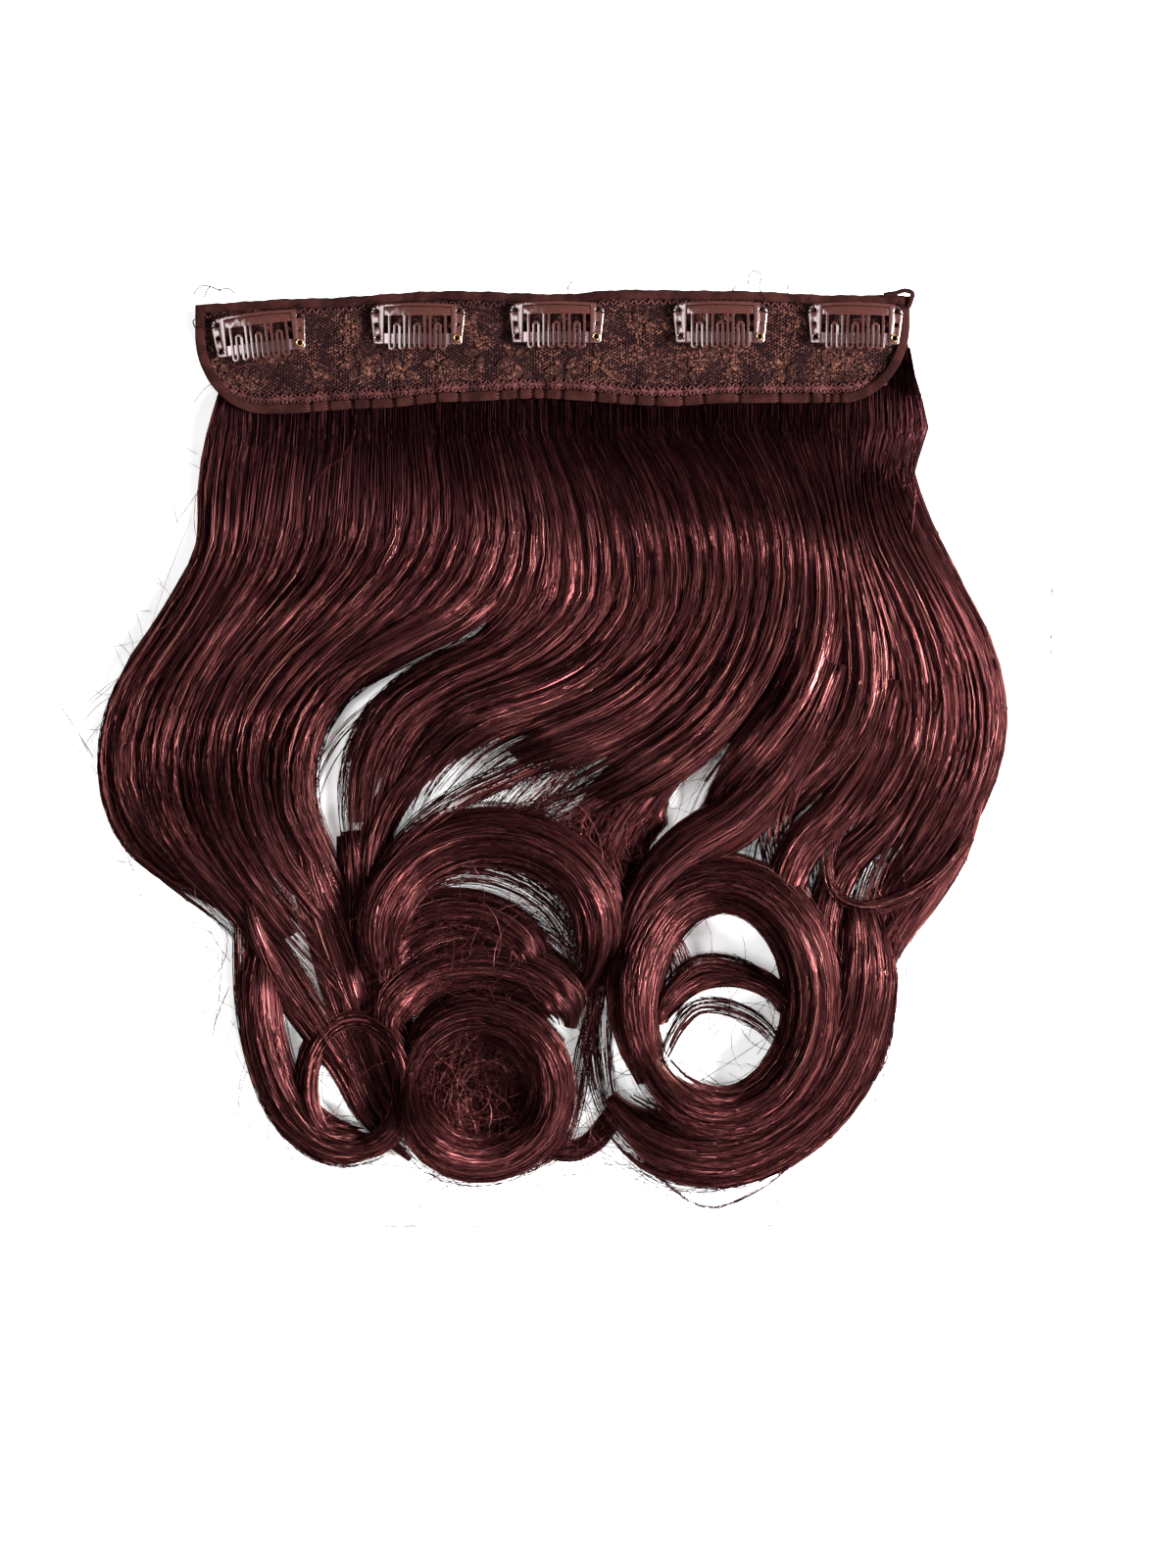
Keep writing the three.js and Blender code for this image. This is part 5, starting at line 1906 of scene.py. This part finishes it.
@dataclass
class SnapClip:
    """One snap clip: a sewn frame, a springy comb, the strip behind it and two eyelets."""

    number: int
    along: float
    down: float
    turn: float
    width: float = 32.0
    height: float = 13.8
    wall: float = 0.5
    arm: float = 4.6
    rim: float = 1.0
    slit: float = 0.3
    pitch: float = 1.72
    tooth: float = 0.86
    reach: float = 2.1
    arch_top: float = 7.2
    bar_bottom: float = 9.6
    shoulder: float = 3.2
    taper: float = 1.0
    low: float = 1.5
    strip_low: float = 0.7
    bow: float = 2.0
    fold_reach: float = 15.2
    fold_step: float = 1.6
    hole_x: float = 13.9
    hole_y: float = 11.0
    rivet_x: float = 13.4
    rivet_y: float = 2.0
    flange: float = 1.3
    thread_radius: float = 0.2 * MM

    def rise(self, x: float) -> float:
        """Gives the bow of the plate at x, in millimetres."""
        return self.bow * (1 - (2 * x / self.width) ** 2)

    def seat(self, x: float, y: float, z: float) -> Vector:
        """Takes a point of the clip, in millimetres, to its place on the band.

        Args:
            x: from the clip's middle to the right.
            y: from its foot up.
            z: over the lace.

        Returns:
            The place, in metres.
        """
        middle_x = self.along * (HALF_BAND - self.width / 2 * MM)
        middle_y = float(top_at(middle_x)) - self.down * BAND_HEIGHT
        spot = Matrix.Rotation(math.radians(self.turn), 3, "Z") @ Vector((x, y - self.height / 2, 0)) * MM
        return Vector((middle_x + spot.x, middle_y + spot.y, LACE_TOP + z * MM))

    def arc(self, x: float, y: float, radius: float, start: float, end: float, steps: int = 10) -> list[Pair]:
        """Draws an arc between two angles in degrees."""
        angles = np.radians(np.linspace(start, end, steps + 1))
        return [(x + radius * math.cos(a), y + radius * math.sin(a)) for a in angles]

    def top_edge(self, start: float, end: float, lower: float) -> list[Pair]:
        """Draws the bowed top edge of the plate from one x to another."""
        xs = np.linspace(start, end, 13)
        return [(x, self.height - lower - 0.7 * (2 * x / self.width) ** 2) for x in xs]

    def stamp(
        self,
        name: str,
        loops: list[list[Pair]],
        low: float,
        body: str,
        finish: Material,
    ) -> Object:
        """Stamps a bowed sheet out of an outline and its holes.

        Args:
            name: the piece's name, and the CAD node's after the clip's own name.
            loops: the outline and its holes.
            low: the height of the sheet's underside at its ends.
            body: the body that it moves with.
            finish: its material.

        Returns:
            The piece.
        """
        shape = bmesh.new()
        for loop in loops:
            ring = [shape.verts.new((x, y, 0)) for x, y in loop]
            for i, vert in enumerate(ring):
                shape.edges.new((vert, ring[(i + 1) % len(ring)]))
        bmesh.ops.triangle_fill(shape, use_beauty=True, edges=shape.edges[:], normal=(0, 0, 1))
        for x in np.arange(-self.fold_reach, self.fold_reach + 0.1, self.fold_step):
            geometry = shape.verts[:] + shape.edges[:] + shape.faces[:]
            bmesh.ops.bisect_plane(shape, geom=geometry, dist=1e-4, plane_co=(x, 0, 0), plane_no=(1, 0, 0))
        raised_copy(shape, shape.faces[:], self.wall)
        bmesh.ops.recalc_face_normals(shape, faces=shape.faces)
        upper = [e for e in shape.edges if min(vert.co.z for vert in e.verts) > 0.1]
        rims = [e for e in upper if e.is_manifold and e.calc_face_angle() > 1]
        bevel = {"offset": 0.09, "offset_type": "OFFSET", "segments": 2, "profile": 0.5}
        bmesh.ops.bevel(shape, geom=rims, affect="EDGES", clamp_overlap=True, material=-1, **bevel)
        for vert in shape.verts:
            vert.co = self.seat(vert.co.x, vert.co.y, low + self.rise(vert.co.x) + vert.co.z)
        mesh = finish_mesh(shape, name, finish)
        piece = finish_object(f"snap_{self.number}_{name}", mesh, body)
        mesh.set_sharp_from_angle(angle=math.radians(35))
        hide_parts(f"clip_{self.number}_{name}")
        return piece

    def frame_loops(self) -> list[list[Pair]]:
        """Outlines the frame: two arms joined by a thin rim over the comb, with its holes.

        Returns:
            The outline and its holes.
        """
        half, inner = self.width / 2, self.width / 2 - self.arm
        edge = self.top_edge(half - self.shoulder, -half + self.shoulder, 0)
        high = edge[0][1]
        foot = 1.4
        outline = [(-inner, 0), *self.top_edge(-inner, inner, self.rim), (inner, 0)]
        outline += [(half - self.taper - foot, 0)]
        outline += self.arc(half - self.taper - foot, foot, foot, -75, -5, 5)
        outline += self.arc(half - self.shoulder, high - self.shoulder, self.shoulder, 0, 84, 9)
        outline += edge
        outline += self.arc(-half + self.shoulder, high - self.shoulder, self.shoulder, 96, 180, 9)
        outline += self.arc(-half + self.taper + foot, foot, foot, 185, 255, 5)
        outline += [(-half + self.taper + foot, 0)]
        loops = [outline]
        for side in (-1, 1):
            for x, y, radius in (
                (self.hole_x, self.hole_y, 0.8),
                (self.hole_x, 6.4, 0.8),
                (self.rivet_x, self.rivet_y, 1.0),
            ):
                loops.append(self.arc(side * x, y, radius, 0, 340, 17))
        return loops

    def comb_loops(self) -> list[list[Pair]]:
        """Outlines the comb: a bar with three serpentines of teeth.

        Returns:
            The outline and its windows.
        """
        half = self.width / 2 - self.arm - self.slit
        outer, inner = (self.pitch + self.tooth) / 2, (self.pitch - self.tooth) / 2
        turn, arch = outer - self.reach, self.arch_top - outer
        outline = [(-half, self.bar_bottom)]
        windows = []
        for group in (-1, 0, 1):
            middle = 4 * self.pitch * group
            left, right = middle - self.pitch, middle + self.pitch
            outline += [(left - outer, self.bar_bottom), *self.arc(left, turn, outer, 180, 360)]
            outline += self.arc(middle, arch, inner, 180, 0, 6)
            outline += [*self.arc(right, turn, outer, 180, 360), (right + outer, self.bar_bottom)]
            wide = self.pitch + inner
            window = self.arc(left, turn, inner, 180, 360, 6) + self.arc(middle, arch, outer, 180, 0, 8)
            window += self.arc(right, turn, inner, 180, 360, 6)
            window += self.arc(middle + wide - 0.6, self.bar_bottom - 0.6, 0.6, 0, 90, 4)
            window += self.arc(middle - wide + 0.6, self.bar_bottom - 0.6, 0.6, 90, 180, 4)
            windows.append(window)
        outline += [(half, self.bar_bottom), *self.top_edge(half, -half, self.rim + self.slit)]
        return [outline, *windows]

    def strip_loops(self) -> list[list[Pair]]:
        """Outlines the strip behind the teeth.

        Returns:
            The outline and its holes.
        """
        half, corner, top = self.width / 2 - self.taper, 0.9, 3.6
        outline = self.arc(half - corner, corner, corner, -90, 0, 5)
        outline += self.arc(half - corner, top - corner, corner, 0, 90, 5)
        outline += self.arc(-half + corner, top - corner, corner, 90, 180, 5)
        outline += self.arc(-half + corner, corner, corner, 180, 270, 5)
        holes = [self.arc(side * self.rivet_x, self.rivet_y, 1.0, 0, 340, 17) for side in (-1, 1)]
        return [outline, *holes]

    def eyelet(self, side: int, name: str, finish: Material) -> None:
        """Turns one rivet with a rolled flange at each end.

        Args:
            side: -1 for the left one, 1 for the right one.
            name: the piece's name.
            finish: its material.
        """
        bottom = self.strip_low + self.rise(self.rivet_x + self.flange) - 0.5
        top = self.low + self.wall + self.rise(self.rivet_x - self.flange) + 0.2
        profile = (
            (0.75, bottom), (1.2, bottom), (1.3, bottom + 0.1), (1.3, bottom + 0.2), (1.2, bottom + 0.3),
            (0.9, bottom + 0.3), (0.9, top), (1.25, top), (1.32, top + 0.1), (1.25, top + 0.22),
            (1.1, top + 0.26), (0.95, top + 0.2), (0.82, top + 0.02), (0.75, top - 0.3),
        )
        shape = bmesh.new()
        ring = [shape.verts.new((radius, 0, z)) for radius, z in profile]
        edges = [shape.edges.new((vert, ring[(i + 1) % len(ring)])) for i, vert in enumerate(ring)]
        turned = {"cent": (0, 0, 0), "axis": (0, 0, 1), "angle": TURN}
        bmesh.ops.spin(shape, geom=ring + edges, steps=24, use_merge=True, **turned)
        bmesh.ops.recalc_face_normals(shape, faces=shape.faces)
        for vert in shape.verts:
            vert.co = self.seat(side * self.rivet_x + vert.co.x, self.rivet_y + vert.co.y, vert.co.z)
        mesh = finish_mesh(shape, name, finish)
        piece = finish_object(f"snap_{self.number}_{name}", mesh, ROOT_BODY)
        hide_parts(f"clip_{self.number}_{name}")

    def sewing(self, finish: Material) -> None:
        """Sews the frame to the lace through its corner holes.

        Args:
            finish: the thread's material.
        """
        lines = []
        over = self.low + self.wall + 0.25
        for side in (-1, 1):
            hole_x, hole_y = side * self.hole_x, self.hole_y
            for end_x, end_y in ((side * 17.2, 12.4), (side * 15.6, 15.4), (side * 17.0, 9.6)):
                stations = ((0, over - 0.9, hole_x), (0.25, over + 0.35, hole_x), (0.7, over + 0.25, 15.6))
                spots = []
                for share, z, bowed in stations:
                    x = hole_x + share * (end_x - hole_x)
                    y = hole_y + share * (end_y - hole_y)
                    spots.append(self.seat(x, y, z + self.rise(bowed)))
                spots.append(self.seat(end_x, end_y, 0.1))
                lines.append(curved(np.array(spots), 4))
        thread_piece(f"snap_{self.number}_sewing", lines, self.thread_radius, finish, sides=6)

    def build(
        self,
        enamel: Material,
        strip: Material,
        brass: Material,
        thread: Material,
    ) -> None:
        """Builds the clip's pieces in their finishes.

        Args:
            enamel: the plate's finish.
            strip: the strip's.
            brass: the right eyelet's.
            thread: the sewing's.
        """
        self.stamp("frame", self.frame_loops(), self.low, ROOT_BODY, enamel)
        self.stamp("comb", self.comb_loops(), self.low, f"comb_{self.number}", enamel)
        self.stamp("strip", self.strip_loops(), self.strip_low, ROOT_BODY, strip)
        self.eyelet(-1, "eyelet_left", enamel)
        self.eyelet(1, "eyelet_right", brass)
        self.sewing(thread)


CLIPS = (
    SnapClip(1, -0.946, 0.3, 6.5),
    SnapClip(2, -0.435, 0.295, 0),
    SnapClip(3, 0.013, 0.26, 0),
    SnapClip(4, 0.54, 0.29, 0),
    SnapClip(5, 0.975, 0.26, -1),
)


@dataclass(frozen=True)
class SoftBox:
    """A soft light that looks at the hair, with its place and size in metres and its power in watts."""

    name: str
    place: Triple
    size: Pair
    power: float

    def hang(self) -> None:
        """Hangs the light."""
        data = bpy.data.lights.new(self.name, "AREA")
        data.shape = "RECTANGLE"
        data.size, data.size_y = self.size
        data.energy = self.power
        lamp = bpy.data.objects.new(self.name, data)
        bpy.context.scene.collection.objects.link(lamp)
        lamp.location = self.place
        lamp.rotation_euler = (-Vector(self.place)).to_track_quat("-Z", "Y").to_euler()


@dataclass
class Studio:
    """Pale floor, soft lights and the camera straight overhead."""

    photo_size: tuple[int, int] = (1200, 1600)
    pixels_per_metre: int = 3000
    band_middle_pixel: tuple[int, int] = (564, 300)
    camera_height: float = 2.0
    sensor_width: float = 36
    floor_half: float = 4
    floor_glow: float = 0.36
    air_light: float = 0.06
    lights: tuple[SoftBox, ...] = (
        SoftBox("overhead_left", (-0.95, 0.05, 1.85), (0.75, 0.7), 27),
        SoftBox("right_key", (1.5, 0.1, 1.12), (0.55, 0.55), 228),
        SoftBox("front_fill", (0.72, -1.2, 1.2), (0.7, 0.6), 68),
    )

    def build(self) -> None:
        """Builds the floor, the lights and the camera."""
        bpy.context.scene.view_settings.view_transform = "Standard"
        self.floor()
        self.camera()
        for light in self.lights:
            light.hang()
        world = bpy.data.worlds.new("studio_air")
        world.use_nodes = True
        air = world.node_tree.nodes["Background"].inputs
        air["Color"].default_value = (1, 1, 1, 1)
        air["Strength"].default_value = self.air_light
        bpy.context.scene.world = world

    def floor(self) -> None:
        """Lays the floor under the hair."""
        sockets = {
            "Roughness": 0.9,
            "Specular IOR Level": 0.1,
            "Emission Color": (1, 1, 1, 1),
            "Emission Strength": self.floor_glow,
        }
        material, graph, shader = dressed("floor_white", sockets)
        tone = graph.mix(graph.noise(here(graph), 3.0), (0.9, 0.9, 0.9), (0.92, 0.92, 0.92))
        graph.feed(shader, "Base Color", tone)
        shape = bmesh.new()
        bmesh.ops.create_grid(shape, x_segments=2, y_segments=2, size=self.floor_half)
        piece = bpy.data.objects.new("floor", finish_mesh(shape, "floor", material, smooth_faces=False))
        bpy.context.scene.collection.objects.link(piece)

    def camera(self) -> None:
        """Hangs the camera over the middle of the photographed frame."""
        data = bpy.data.cameras.new("camera")
        half_height = self.photo_size[1] / 2 / self.pixels_per_metre
        data.sensor_width = self.sensor_width
        data.lens = data.sensor_width / 2 * self.camera_height / half_height
        rig = bpy.data.objects.new("camera", data)
        bpy.context.scene.collection.objects.link(rig)
        x = (self.photo_size[0] / 2 - self.band_middle_pixel[0]) / self.pixels_per_metre
        y = BAND_TOP - (self.photo_size[1] / 2 - self.band_middle_pixel[1]) / self.pixels_per_metre
        rig.location = (x, y, self.camera_height)
        bpy.context.scene.camera = rig


def main() -> None:
    """Builds the piece in order and reports it."""
    logging.basicConfig(level=logging.INFO, format="%(name)s: %(message)s")
    effects = Effects()
    Studio().build()
    HairMass().build(effects)
    band = LaceBand(effects)
    band.build()
    enamel, strip, brass = (finish.material(effects) for finish in (ENAMEL, STRIP, BRASS))
    for clip in CLIPS:
        clip.build(enamel, strip, brass, band.dark)


if __name__ == "__main__":
    main()
